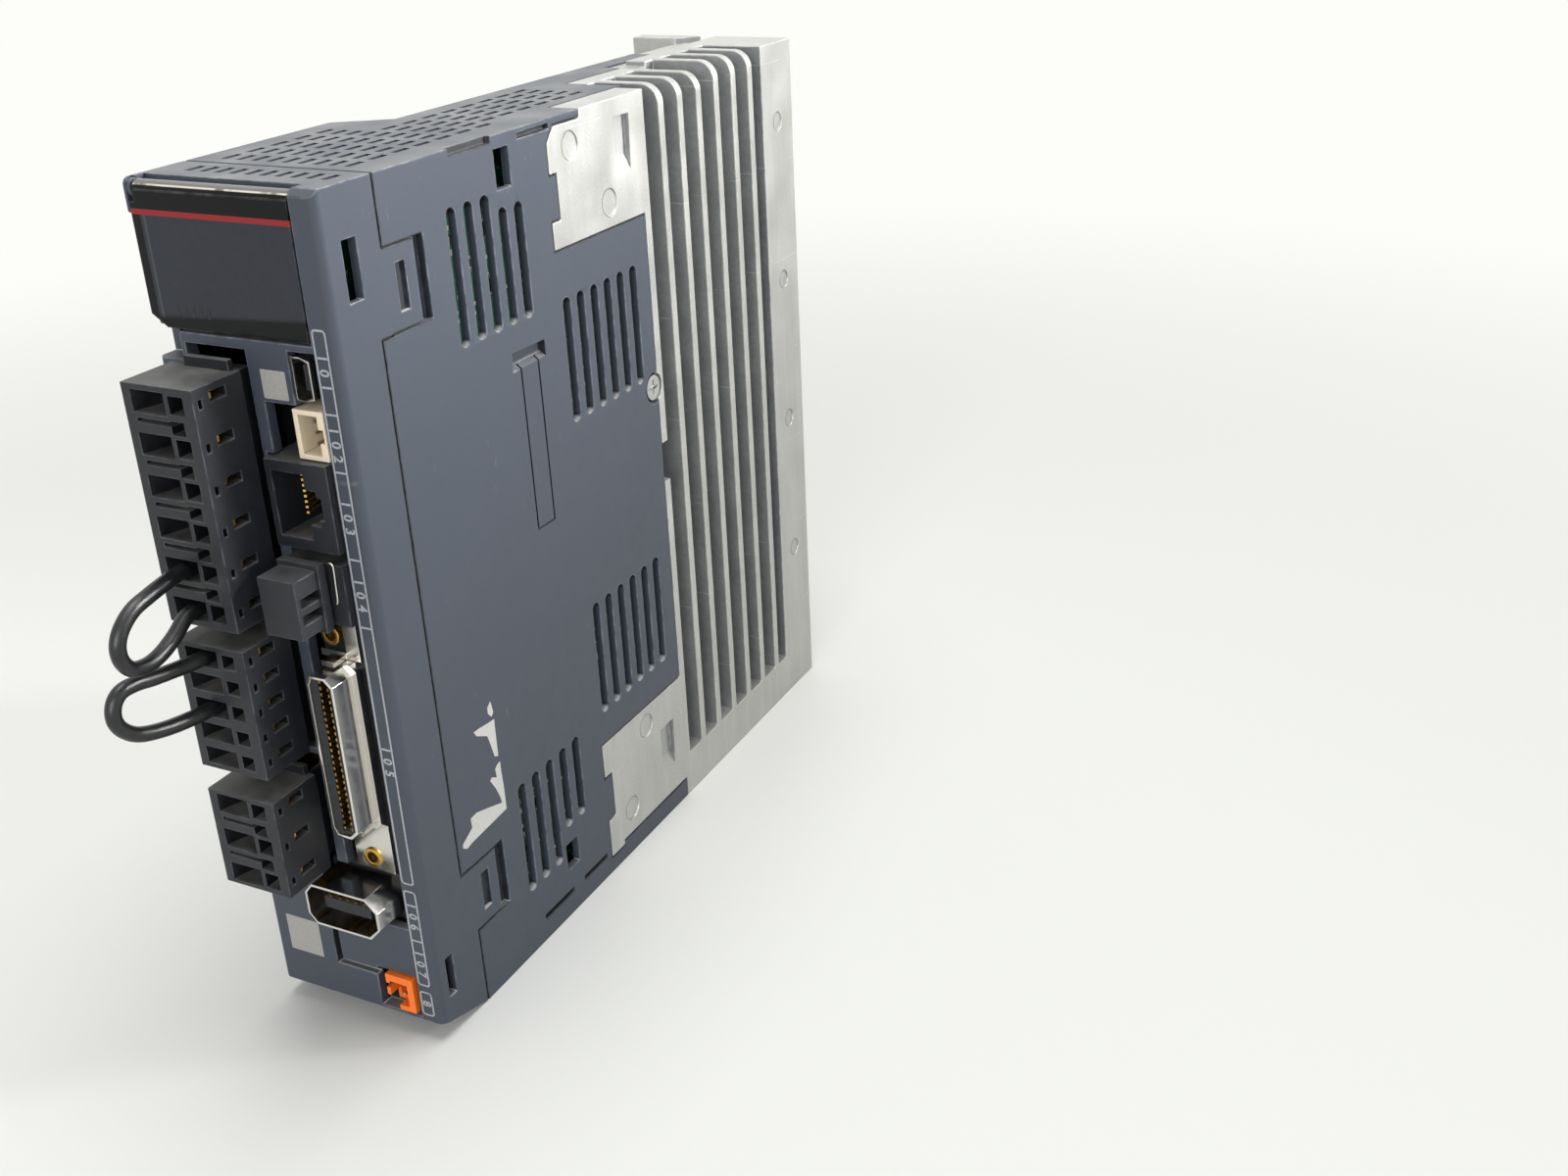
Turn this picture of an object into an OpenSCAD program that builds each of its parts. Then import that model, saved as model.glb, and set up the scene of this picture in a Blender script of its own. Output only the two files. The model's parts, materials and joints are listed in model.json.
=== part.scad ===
// Compact servo drive: moulded two-part case on a die-cast finned heat sink, sockets on the front.
// Worked out with the front face at y = 0 and then moved so that the origin is under the middle.

/* [Body] */
// Width of the drive
body_w = 40; // [40:1:60]
// Depth from the front face to the mounting face
body_d = 170; // [165:1:200]
// Height over the mounting lugs
body_h = 168; // [168:1:190]
// Drop from the lug tops to the top of the case
lug_rise = 1.2; // [0.6:0.1:3]
// Wall thickness of both cases
wall = 1.8; // [1.4:0.1:2]
// Distance that the wire plugs stand out of the front
plug_reach = 14; // [12:0.5:18]

/* [Front case] */
// Depth of the front case at the parting line
front_d = 14.2; // [13.5:0.1:16]
// Depth of the front case between its snap tabs
waist_d = 11.2; // [11:0.1:13]
// Thickness of the front wall
front_wall = 2.2; // [1.6:0.1:2.4]
// Height of the front edge above the base
chin_rise = 4.3; // [3:0.1:4.5]
// Radius of the upright front edges
edge_r = 1.6; // [0.6:0.1:2.5]
// Width of the parting line
seam = 0.3; // [0.25:0.05:0.5]
// Reach of a snap tab from the front face
tab_reach = 22.5; // [19:0.5:23]
// Height of a snap tab
tab_h = 14.4; // [10:0.2:16]

/* [Main case] */
// Width of a side slot
slot_w = 2.6; // [1.5:0.1:3.4]
// Pitch of the side slots
slot_pitch = 5.05; // [4.5:0.05:5.5]
// Width of a slot in the top and the base
dash_w = 1.3; // [0.8:0.1:2]
// Length of a slot in the top and the base
dash_l = 4; // [2:0.1:4.8]
// Width of the recess beside each mounting lug
recess_w = 10.5; // [10:0.1:12]
// Height of the recess beside each mounting lug
recess_h = 12.8; // [11:0.1:15]

/* [Heat sink] */
// Number of fins
fin_count = 6; // [4:1:7]
// Pitch of the fins
fin_pitch = 8.16; // [7:0.02:8.6]
// Fin thickness at the outer edge
fin_tip_t = 2.2; // [1.4:0.1:3]
// Fin thickness at the root
fin_root_t = 2.8; // [2:0.1:4]
// Radius of the upper outer fin corners
fin_corner_r = 4; // [1:0.5:7]
// Thickness of the wall that carries the fins
base_t = 5; // [4:0.1:7]
// Depth of the back block
block_d = 15.6; // [12:0.1:16]
// Thickness of the mounting lugs
lug_t = 5; // [3:0.1:6]
// Height of the mounting lugs
lug_h = 12; // [11:0.5:14]
// Diameter of the mounting holes
mount_hole_d = 6; // [5:0.1:7]
// Distance of the mounting holes from the side and from the lug edges
mount_edge = 6; // [5:0.1:7]

/* [Flap and keys] */
// Height of the smoked flap below the hinge axis
flap_h = 23.4; // [20:0.1:23.6]
// Thickness of the flap
flap_t = 1.6; // [1.2:0.1:1.8]
// Radius of the hinge barrel
barrel_r = 1.5; // [1.2:0.05:1.6]
// Radius of the hinge pins
hinge_pin_r = 0.8; // [0.6:0.05:0.9]
// Running clearance of the hinge pins
hinge_fit = 0.05; // [0.02:0.01:0.1]
// Radius of a key cap
key_r = 1.7; // [1.2:0.1:2.2]
// Pitch of the keys
key_pitch = 6.7; // [5.4:0.1:7]
// Travel of a key
key_travel = 0.4; // [0.2:0.05:0.5]

/* [Wire plugs] */
// Width of a wire plug
plug_w = 15.4; // [14.8:0.1:15.8]
// Pole pitch of the line and motor plugs
pole_pitch = 7.5; // [7:0.1:7.6]
// Pole pitch of the link plug
link_pitch = 5.08; // [4.8:0.02:5.2]
// Side of the square tool holes
tool_w = 3.2; // [2.2:0.1:3.4]
// Outer diameter of the jumper wires
jumper_d = 2.8; // [2:0.1:3.2]
// Running clearance between a plug and its header
plug_fit = 0.3; // [0.3:0.05:0.5]

/* [Sockets] */
// Width across the modular jack opening
jack_w = 11.9; // [11.5:0.1:12.2]
// Contacts in one row of the signal connector
io_row = 25; // [13:2:25]
// Contact pitch of the signal connector
io_pitch = 1.27; // [1:0.01:1.27]
// Wall of the metal connector shells
shell_t = 0.5; // [0.3:0.05:0.6]
// Thickness of the circuit boards
board_t = 1.6; // [1:0.1:1.8]

/* [Hidden] */
$fn = 32;
cut = 1;

// Edges of the body
xr = body_w / 2;
xl = -xr;
case_h = body_h - lug_rise;
y_mid = (body_d - plug_reach) / 2;
gap = 0.3;

// Heat sink, from the mounting face forwards
base_x = xr - 20;
fin_x = base_x + base_t;
block_y = body_d - block_d;
last_fin_y = block_y - 5.5;
web_back = last_fin_y - 5 * 8.16 - 7.1;
web_t = 2.4;
web_front = web_back - web_t;
plate_t = wall;
plate_x = xr - plate_t;
plate_low = case_h - 24.7;
rim_x = xr - 6.5;
rim_t = 2.6;
flange_h = 10.8;
fin_step_y = block_y - 26.4;
sink_low = 4;
lug_front = body_d - lug_t;
hole_x = xl + mount_edge;
hole_low = mount_edge;
hole_high = body_h - mount_edge;
boss = [web_front - 1.5, 104.4];
boss_r = 3.2;
earth_y = [web_back + 8, web_back + 22];
earth_x = (fin_x + xr) / 2;
earth_pocket = 4.6;
module_y = [web_back + 6, web_back + 50];
module_z = [58, 112];
module_holes = [62, 108];

// Main case
rear_y = lug_front - 0.5;
strip_reach = tab_reach + 2.8;
strip_back = 1.3;
recess_x = xl + recess_w;
recess_y0 = 52;
recess_y1 = 58.5;
recess_top = case_h - recess_h;
top_edge_y = web_back + 2.8;
tongue_y1 = web_back + 25;
tongue_y2 = web_back + 46;
tongue_x = base_x - 4.8;
shelf_t = 4.6;
slot_y = [strip_reach + 8.3, web_front - 32.1];
upper_z = case_h - 34.8;
slot_groups = [[slot_y[0], upper_z, case_h - 9.8, 3], [slot_y[0] + 3 * slot_pitch, upper_z, case_h - 13, 2],
    [slot_y[1], upper_z - 25, upper_z + 0.5, 6], [slot_y[1], 40.1, 66.2, 6], [slot_y[0], 14.5, 40.2, 3],
    [slot_y[0] + 3 * slot_pitch, 21.2, 40.2, 2]];
left_groups = [0, 1, 4, 5];
side_holes = [[48, case_h - 9.8, 52.5, case_h - 2.6], [46.4, 11, 51, 17.3], [36.5, 5, 47.6, 6],
    [52.2, 5, 61.4, 6]];
dash_x = [for (i = [0:8]) -14.1 + 3.33 * i];
dash_y = [for (i = [0:12]) 19.4 + 6.1 * i];
latch_y = [web_front - 49.4, web_front - 43.6];
latch_z = [90, 123.6];
latch_head = [latch_y[0] - 2.4, latch_z[1], latch_y[1] + 2.7, latch_z[1] + 3];
latch_slit = 0.45;
latch_sink = 0.5;
head_sink = 1.2;

// Front case
waist_z = [32, case_h - 27.1];
tab_z = [waist_z[0] - tab_h - 0.1, waist_z[1] + 0.2];
pillar_x = xr - 5.3;
flap_top = case_h - 1.9;
flap_base = flap_top - flap_h;
panel_y = 4.4;
panel_t = 1.8;
ledge_t = 1.7;
ear_x = xl + 1.4;
ear_r = barrel_r + 0.1;
grip_x = xl + 6;
grip_y = 4.2;
grip_low = flap_base - 5.2;
front_dash_y = [7.5, 11.3];
front_dash_x = [for (i = [0:9]) -12.8 + 3.2 * i];
left_win = [xl + 7, xl + 20.1];
right_win = [xr - 17.4, xr - 5.1];
blank_x = [xr - 24.6, xr - 23.5, xr - 14.4];
blank_z = [12.3, 13.4];
blank_sink = 0.3;
groove_sink = 1.5;

// Flap hinge and keys
hinge_y = 1.7;
hinge_z = flap_top;
pin_l = 1.2;
flap_x = xl + 0.6;
flap_cut = [3.2, 2.4];
flap_drop = ear_r + 0.35;
key_z = flap_base + 5;
key_x = [for (i = [0:3]) xl + 9 + key_pitch * i];
key_front = 2.7;
key_flange_y = panel_y + panel_t;
key_flange_t = 0.8;
switch_y = key_flange_y + key_flange_t + key_travel + 0.1;
display_y = 8.6;
window = [xl + 8, flap_base + 9.5, xl + 30, flap_base + 18.5];

// Boards
board_x = xr - 5.2;
board_front = 6.6;
board_back = web_front - 6.6;
board_z = [6, case_h - 6.8];
power_x = xl + wall + strip_back + board_t + gap;
power_y = [7, block_y - 4.4];
power_z = [20.5, recess_top - wall - 1.2];
post_r = 2.4;
screw_head_r = 2.6;
screw_head_h = 1.5;
capacitor_r = 12;
capacitor_pitch = 26;
capacitor_y = 46.5;
capacitor_z = power_z[0] + 37.5;
post_y = [strip_reach + screw_head_r + 2.5, board_back - 8];
post_z = [board_z[0] + 22, board_z[1] - 14];

// Wire plugs: place of the first pole, number of poles, pitch, edge past the outer poles
plug_x = xl + 5.5;
line_set = [case_h - 33.15, 6, pole_pitch, 3.05];
link_set = [case_h - 80, 5, link_pitch, 2.7];
motor_set = [41.1 + 2 * pole_pitch, 3, pole_pitch, 2.7];
plug_step = -2.5;
insert_x = [plug_x + 1.9, plug_x + 13];
insert_end = 12.8;
header_front = 6.4;
header_back = 15.5;
header_wall = 1.2;
mouth_x = [plug_x + 1.9, plug_x + 9.1];
tool_x = plug_x + 11.6;
pin_x = plug_x + 10.1;
pin_r = 0.6;
contact_x = [plug_x + 8, plug_x + 12.2];
contact_h = 3.4;
contact_front = -8;
contact_tab = [contact_front - 2, contact_front - 1.2];
mouth_floor = -9;
slit_x = [plug_x + 2.4, plug_x + 9.7];

// Jumper routes as rows of x, y, z, from mouth floor to mouth floor
line_route = [[-9, -9, 103.6], [-9, -15, 103.5], [-8.6, -19, 103.3], [-8, -23, 103], [-7.8, -27, 102.2],
    [-7.7, -30, 100.3], [-7.7, -31.6, 97.8], [-7.8, -31.5, 94.9], [-8, -29.6, 92.4], [-8.2, -26.3, 91.5],
    [-8.4, -22.9, 91.9], [-8.7, -19.2, 93.3], [-9, -15.5, 95.4], [-9, -12.5, 96], [-9, -9, 96.1]];
link_route = [[-9, -9, 86.6], [-9, -14, 86.6], [-9.8, -18, 86.7], [-10.6, -23.4, 87.2], [-11.2, -27, 87.7],
    [-11.5, -30, 87.6], [-11.6, -31.9, 86.1], [-11.6, -32.5, 83.6], [-11.5, -31.5, 81.1],
    [-11.2, -28.8, 78.8], [-10.7, -24.4, 77.4], [-10, -19.3, 76.7], [-9.2, -14.6, 76.6], [-9, -9, 76.6]];
route_dx = plug_x + 14.5;
route_line_dz = case_h - 166.8;
ring_sides = 8;

// Sockets on the control board: middle heights
usb_z = case_h - 31.4;
monitor_z = case_h - 41.1;
serial_z = case_h - 53.9;
safety_z = case_h - 69.9;
io_z = case_h - 101;
encoder_z = 31.1;
battery_z = 9.5;
serial_front = -1.5;
io_front = -6.2;
io_face = 1.6;
io_half = 16.7;
encoder_face = 2.6;
encoder_front = -6;
safety_front = -10;
safety_flange = [-4.4, -2.6];
safety_grooves = [safety_z - 2.7, safety_z + 0.5];
usb_win = board_x - 5.5;
io_step = io_face - 2.6;
upper_nut = [board_x - 7, io_z + 21.8];
lower_nut = [board_x - 6, io_z - 25.2];

// Box between two corners
module block(lo, hi) {
    translate(lo) cube(hi - lo);
}

// Profile drawn in x and z, pushed from y0 to y1
module along_y(y0, y1) {
    translate([0, y1, 0]) rotate([90, 0, 0]) linear_extrude(y1 - y0) children();
}

// Profile drawn in y and z, pushed from x0 to x1
module along_x(x0, x1) {
    translate([x0, 0, 0]) rotate([90, 0, 90]) linear_extrude(x1 - x0) children();
}

// Rectangle between two corners
module rect(lo, hi) {
    translate(lo) square(hi - lo);
}

// Upright slot with round ends
module long_slot(y, z0, z1, w) {
    rect([y - w / 2, z0 + w / 2], [y + w / 2, z1 - w / 2]);
    translate([y, z0 + w / 2]) circle(w / 2);
    translate([y, z1 - w / 2]) circle(w / 2);
}

// Rod along x or along y
module rod_x(x0, x1, y, z, r) {
    translate([x0, y, z]) rotate([0, 90, 0]) cylinder(h = x1 - x0, r = r);
}

module rod_y(y0, y1, x, z, r) {
    translate([x, y0, z]) rotate([-90, 0, 0]) cylinder(h = y1 - y0, r = r);
}

module placed() {
    translate([0, -y_mid, 0]) children();
}

// Outlines in y and z of the heat sink's side plates, grown by g
module upper_plate(g) {
    polygon([[web_front - 34.2 - g, plate_low - g], [web_front - 34.2 - g, plate_low + 5.3 + g],
        [web_front - 31.2 - g, plate_low + 5.3 + g], [web_front - 31.2 - g, plate_low + 14.3 - g],
        [web_front - 33.6 - g, plate_low + 14.3 - g], [web_front - 33.6 - g, case_h - 4.6],
        [web_front - 31 - g, case_h - 1.8 + g], [web_front - 21.8 - g, case_h - 1.8 + g],
        [web_front - 21.8 - g, case_h + cut * g / gap], [web_back, case_h + cut * g / gap],
        [web_back, plate_low - g]]);
}

module lower_plate(g) {
    polygon([[web_front - 34.9 - g, sink_low - 0.2 - g], [web_front - 34.9 - g, 13.3 + g],
        [web_front - 32 - g, 13.3 + g], [web_front - 32 - g, 24.5 - g],
        [web_front - 34.9 - g, 24.5 - g], [web_front - 34.9 - g, 32.6 + g],
        [web_back, 32.6 + g], [web_back, sink_low + 1 - g], [web_front - 29.4, sink_low + 1 - g],
        [web_front - 29.4, sink_low - 0.2 - g]]);
}

// Plan of the recess beside a mounting lug, grown by g
module recess_plan(g) {
    slope = (recess_y1 - recess_y0) / recess_w;
    side = g * sqrt(1 + slope * slope);
    polygon([[xl - cut, recess_y0 - slope * cut - side], [recess_x + g, recess_y1 + slope * g - side],
        [recess_x + g, body_d], [xl - cut, body_d]]);
}

// Sunk window in a side plate, its lower end sloped
module plate_window(y0, y1, z0, z1) {
    depth = 1.2;
    along_y(y0, y1) polygon([[xr + cut, z0], [xr, z0], [xr - depth, z0 + 3], [xr - depth, z1],
        [xr + cut, z1]]);
}

module fin_profile(top) {
    rect([base_x + 1, flange_h - 1], [xr - fin_corner_r, top]);
    rect([base_x + 1, flange_h - 1], [xr, top - fin_corner_r]);
    translate([xr - fin_corner_r, top - fin_corner_r]) circle(fin_corner_r);
}

module fins() {
    intersection() {
        linear_extrude(body_h) for (i = [0:fin_count - 1]) {
            translate([0, last_fin_y - i * fin_pitch]) polygon([[base_x + 1, -fin_root_t / 2],
                [xr, -fin_tip_t / 2], [xr, fin_tip_t / 2], [base_x + 1, fin_root_t / 2]]);
        }
        union() {
            along_y(fin_step_y, block_y) fin_profile(body_h);
            along_y(web_front, fin_step_y) fin_profile(case_h);
        }
    }
}

module lug(z0) {
    translate([0, 0, z0]) linear_extrude(lug_h) polygon([[xl, lug_front], [recess_x + 1.2, lug_front],
        [recess_x + 5.7, body_d], [xl, body_d]]);
}

module heat_sink() {
    color([0.76, 0.76, 0.74]) difference() {
        union() {
            // Wall that carries the fins, lower under the plastic top
            block([base_x, web_front, sink_low], [fin_x, top_edge_y + gap, case_h - wall - gap]);
            block([base_x, top_edge_y + gap, sink_low], [fin_x, fin_step_y, case_h]);
            block([base_x, fin_step_y, 0], [fin_x, body_d, body_h]);
            // Front web and its edge on the right side
            block([base_x, web_front, sink_low], [xr, web_back, case_h - wall - gap]);
            block([rim_x, web_front, sink_low], [xr, web_back, case_h]);
            along_x(plate_x, xr) upper_plate(0);
            along_x(plate_x, xr) lower_plate(0);
            block([rim_x, web_front - 21.8, case_h - rim_t], [xr, web_back, case_h]);
            fins();
            block([base_x + 1, block_y, 0], [xr, body_d, body_h]);
            block([base_x, web_front, 0], [xr, block_y + 1, flange_h]);
            // Back plate and shelves that reach the mounting lugs
            block([base_x - 4, lug_front, 0], [base_x + 1, body_d, case_h - 0.4]);
            block([recess_x, tongue_y2 + gap, case_h - shelf_t], [base_x + 1, body_d, case_h - 0.4]);
            block([recess_x, tongue_y2 + gap, 0], [base_x + 1, body_d, shelf_t]);
            for (z = [0, case_h - shelf_t]) {
                block([tongue_x + gap, tongue_y1 + gap, z],
                    [base_x + 1, tongue_y2 + cut, z + shelf_t - 0.4]);
            }
            lug(0);
            lug(body_h - lug_h);
            // Boss for the screw that holds the case
            rod_x(fin_x, plate_x, boss[0], boss[1], boss_r);
            block([fin_x, boss[0], boss[1] - boss_r], [plate_x, web_front, boss[1] + boss_r]);
        }
        for (z = [hole_low, hole_high]) {
            rod_y(lug_front - cut, body_d + cut, hole_x, z, mount_hole_d / 2);
        }
        rod_x(plate_x - 8, plate_x + cut, boss[0], boss[1], 1.35);
        rod_x(plate_x, xr + cut, boss[0], boss[1], boss_r);
        block([plate_x, web_front - cut, 82], [xr + cut, web_back + 0.4, 91]);
        plate_window(web_front - 9.8, web_front - 4, plate_low + 9.9, case_h - 3.8);
        plate_window(web_front - 10.4, web_front - 4.8, 12, 23.6);
        for (p = [[web_front - 25.9, plate_low + 18.4], [web_front - 13.4, plate_low + 4.9],
            [web_front - 16.4, 28], [web_front - 25.1, 11]]) {
            rod_x(xr - 0.3, xr + cut, p[0], p[1], 2.8);
        }
        for (z = [40, 76, 112, 150]) {
            rod_x(xr - 0.3, xr + cut, body_d - 8, z, 2.2);
        }
        // Pocket and holes of the earth screws
        block([fin_x + 2, earth_y[0] - 6, -cut], [xr - 2, earth_y[1] + 6, earth_pocket]);
        for (y = earth_y) {
            translate([earth_x, y, earth_pocket - cut]) cylinder(h = 5, r = 2);
        }
        for (z = module_holes) {
            rod_x(base_x - cut, base_x + 3.6, (module_y[0] + module_y[1]) / 2, z, 1.5);
        }
    }
}

// Block left after the front case has taken its room, and its grown form for the seam
module front_outline(g) {
    polygon([[0, chin_rise - (chin_rise + cut) * g / seam], [0, case_h - 1.2], [1.2, case_h + cut * g / seam],
        [front_d + g, case_h + cut * g / seam], [front_d + g, waist_z[1] - g], [waist_d + g, waist_z[1] - g],
        [waist_d + g, waist_z[0] + g], [front_d + g, waist_z[0] + g], [front_d + g, -cut * g / seam],
        [front_d, -cut * g / seam], [front_d, 0]]);
}

module main_case() {
    color([0.36, 0.38, 0.42]) difference() {
        union() {
            difference() {
                linear_extrude(case_h) polygon([[xl, waist_d], [xr, waist_d], [xr, web_front - 0.2],
                    [base_x - gap, web_front - 0.2], [base_x - gap, rear_y], [xl, rear_y]]);
                difference() {
                    translate([0, 0, wall]) linear_extrude(case_h - 2 * wall) polygon([
                        [xl + wall, 0], [xr - wall, 0], [xr - wall, web_front + cut],
                        [base_x + cut, web_front + cut], [base_x + cut, rear_y - wall],
                        [xl + wall, rear_y - wall]]);
                    translate([0, 0, recess_top - wall]) linear_extrude(body_h) recess_plan(wall);
                    linear_extrude(recess_h + wall) recess_plan(wall);
                }
            }
            // Top over the web, and the sunk floors under the front case's tabs
            block([base_x - 1, web_front - 1, case_h - wall], [rim_x - gap, top_edge_y, case_h]);
            for (x = [xl + wall, xr - wall - strip_back], z = tab_z) {
                block([x, front_d + 1, z - 1], [x + strip_back, strip_reach + 1, z + tab_h + 1]);
            }
        }
        translate([0, 0, recess_top]) linear_extrude(body_h) recess_plan(0);
        translate([0, 0, -cut]) linear_extrude(recess_h + cut) recess_plan(0);
        along_x(xl - cut, xr + cut) front_outline(seam);
        // Room for the snap tabs and the strip behind them
        for (x = [xl - cut, xr - wall + seam], z = tab_z) {
            block([x, 0, z - seam], [x + wall - seam + cut, strip_reach, z + tab_h + seam]);
        }
        for (x = [xl - cut, xr - wall - seam], z = tab_z) {
            block([x, 0, z - seam], [x + wall + seam + cut, tab_reach + seam, z + tab_h + seam]);
        }
        // Room for the heat sink
        along_x(plate_x - gap, xr + cut) upper_plate(gap);
        along_x(plate_x - gap, xr + cut) lower_plate(gap);
        block([rim_x - gap, web_front - 22.1, case_h - rim_t - gap], [xr + cut, body_d, case_h + cut]);
        for (z = [-cut, case_h - shelf_t - gap]) {
            translate([0, 0, z]) linear_extrude(shelf_t + gap + cut) polygon([[tongue_x, tongue_y1],
                [base_x + cut, tongue_y1], [base_x + cut, body_d], [xl, body_d], [xl, tongue_y2],
                [tongue_x, tongue_y2]]);
        }
        rod_x(plate_x - gap, xr + cut, boss[0], boss[1], boss_r + gap);
        // Slots of both sides
        along_x(plate_x - cut, xr + cut) for (g = slot_groups, i = [0:g[3] - 1]) {
            long_slot(g[0] + i * slot_pitch, g[1], g[2], slot_w);
        }
        along_x(xl - cut, xl + wall + cut) for (n = left_groups, i = [0:slot_groups[n][3] - 1]) {
            long_slot(slot_groups[n][0] + i * slot_pitch, slot_groups[n][1], slot_groups[n][2], slot_w);
        }
        for (x = [xl - cut, plate_x - cut], h = side_holes) {
            block([x, h[0], h[1]], [x + wall + 2 * cut, h[2], h[3]]);
        }
        // Snap latch on the right side: two slits, a thin hinge line and a sunk head
        along_x(plate_x - cut, xr + cut) for (y = latch_y) {
            rect([y - latch_slit / 2, latch_z[0]], [y + latch_slit / 2, latch_z[1] + 0.5]);
        }
        block([xr - latch_sink, latch_y[0], latch_z[0]], [xr + cut, latch_y[1], latch_z[0] + latch_slit]);
        along_y(latch_head[0], latch_head[2]) polygon([[xr + cut, latch_head[1] - 0.3],
            [xr, latch_head[1] - 0.3], [xr - head_sink, latch_head[1] + 0.7],
            [xr - head_sink, latch_head[3]], [xr + cut, latch_head[3]]]);
        // Edge notch and snap groove at the top of the right side
        block([xr - 1, 35, case_h - 1.3], [xr + cut, 47.3, case_h + cut]);
        block([xr - 1, 55.6, case_h - 2], [xr + cut, 66, case_h - 1]);
        // Slots of the top and the base
        for (z = [-cut, case_h - wall - cut]) {
            translate([0, 0, z]) linear_extrude(wall + 2 * cut) for (x = dash_x, y = dash_y) {
                if ((x > recess_x + 3 || y < 46) && (x < rim_x - 2 || y < 62)) {
                    rect([x - dash_w / 2, y - dash_l / 2], [x + dash_w / 2, y + dash_l / 2]);
                }
            }
        }
    }
}

module front_case() {
    color([0.38, 0.4, 0.44]) difference() {
        union() {
            difference() {
                intersection() {
                    union() {
                        along_x(xl, xr) front_outline(0);
                        for (x = [xl, plate_x], z = tab_z) {
                            block([x, waist_d - 2, z], [x + wall, tab_reach, z + tab_h]);
                        }
                    }
                    linear_extrude(body_h) {
                        rect([xl + edge_r, 0], [xr - edge_r, strip_reach]);
                        rect([xl, edge_r], [xr, strip_reach]);
                        for (x = [xl + edge_r, xr - edge_r]) {
                            translate([x, edge_r]) circle(edge_r);
                        }
                    }
                }
                along_x(xl + wall, xr - wall) polygon([
                    [front_wall, chin_rise * (1 - front_wall / front_d) + wall], [front_wall, case_h - wall],
                    [strip_reach, case_h - wall], [strip_reach, wall - chin_rise], [front_d + cut, wall]]);
            }
            // Panel behind the flap with its ledge, side walls and hinge ears
            block([xl + 1, panel_y, flap_base - ledge_t], [pillar_x + 1.4, panel_y + panel_t, case_h - 1]);
            block([xl + 1, 1, flap_base - ledge_t], [pillar_x + 1, panel_y + 1, flap_base - 0.2]);
            block([pillar_x, 1, flap_base - ledge_t], [pillar_x + 1.4, panel_y + 1, case_h - 1.4]);
            rod_x(xl, ear_x, hinge_y, hinge_z, ear_r);
            block([pillar_x, 1, flap_top - 2], [pillar_x + 2.2, panel_y + 1, case_h - 0.4]);
            // Back, side and sill of the finger recess below the flap
            block([xl + 1, grip_y, grip_low - 1.4], [left_win[0], grip_y + 1.6, flap_base - 0.2]);
            block([grip_x, 1, grip_low - 1.4], [left_win[0], grip_y + 1, flap_base - 0.2]);
            block([xl + 1, 1, grip_low - 1.4], [left_win[0], grip_y + 1, grip_low]);
            // Posts that carry the display board
            for (x = [window[0] - 1.9, window[2] + 2]) {
                rod_y(panel_y + 1, display_y, x, window[1] + 5, 1.2);
            }
        }
        // Seat of the flap, its panel and its hinge
        block([xl - cut, -cut, flap_base - 0.2], [pillar_x, hinge_y + 0.3, flap_top - flap_drop + 0.2]);
        block([ear_x, -cut, flap_base - 0.2], [pillar_x, panel_y, flap_top - flap_drop + 0.2]);
        block([ear_x, -cut, flap_top - 2], [pillar_x, panel_y - 0.6, body_h]);
        difference() {
            block([xl - cut, -cut, flap_top - flap_drop], [ear_x, hinge_y, body_h]);
            rod_x(xl - 2 * cut, ear_x + cut, hinge_y, hinge_z, ear_r);
        }
        rod_x(xl - cut, pillar_x + pin_l + gap, hinge_y, hinge_z, hinge_pin_r + hinge_fit);
        along_y(0, display_y) {
            rect([window[0], window[1]], [window[2], window[3]]);
            for (x = key_x) {
                translate([x, key_z]) circle(key_r + gap);
            }
        }
        block([xl - cut, -cut, grip_low], [grip_x, grip_y, flap_base]);
        // Windows of the wire plugs and of the sockets
        along_y(-cut, front_wall + 0.5) {
            for (s = [line_set, link_set, motor_set]) {
                rect([left_win[0], s[0] - (s[1] - 1) * s[2] - s[3] - 1], [left_win[1], s[0] + s[3] + 2.7]);
            }
            rect([right_win[0], io_z - 28.2], [right_win[1], monitor_z + 4.9]);
            rect([right_win[0] - 1.6, serial_z - 8.5], [right_win[1], serial_z + 8.5]);
            rect([usb_win, monitor_z + 4.8], [right_win[1], usb_z + 4.6]);
            rect([xr - 24.4, encoder_z - 5.6], [right_win[1], io_z - 28]);
            rect([blank_x[2] - 0.4, battery_z - 4.5], [right_win[1], battery_z + 4.6]);
        }
        // Sunk blank panel with a groove along two edges, and the side openings of the front edge
        block([blank_x[0], -cut, blank_z[1]], [right_win[1], blank_sink, encoder_z - 5.5]);
        block([blank_x[0], -cut, blank_z[0]], [blank_x[1], groove_sink, encoder_z - 5.5]);
        block([blank_x[0], -cut, blank_z[0]], [blank_x[2], groove_sink, blank_z[1]]);
        block([xr - wall - cut, 4.9, flap_base + 6], [xr + cut, 8.4, flap_base + 16.3]);
        block([xr - wall - cut, 3.2, 9], [xr + cut, 5.4, 18]);
        for (x = [xl - cut, xr - 0.8], z = tab_z) {
            block([x, 17.2, z + 3], [x + 0.8 + cut, 19.6, z + tab_h - 3]);
        }
        // Slots of the top
        translate([0, 0, case_h - wall - cut]) linear_extrude(wall + 2 * cut) for (x = front_dash_x) {
            rect([x - dash_w / 2, front_dash_y[0]], [x + dash_w / 2, front_dash_y[1]]);
        }
    }
}

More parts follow.
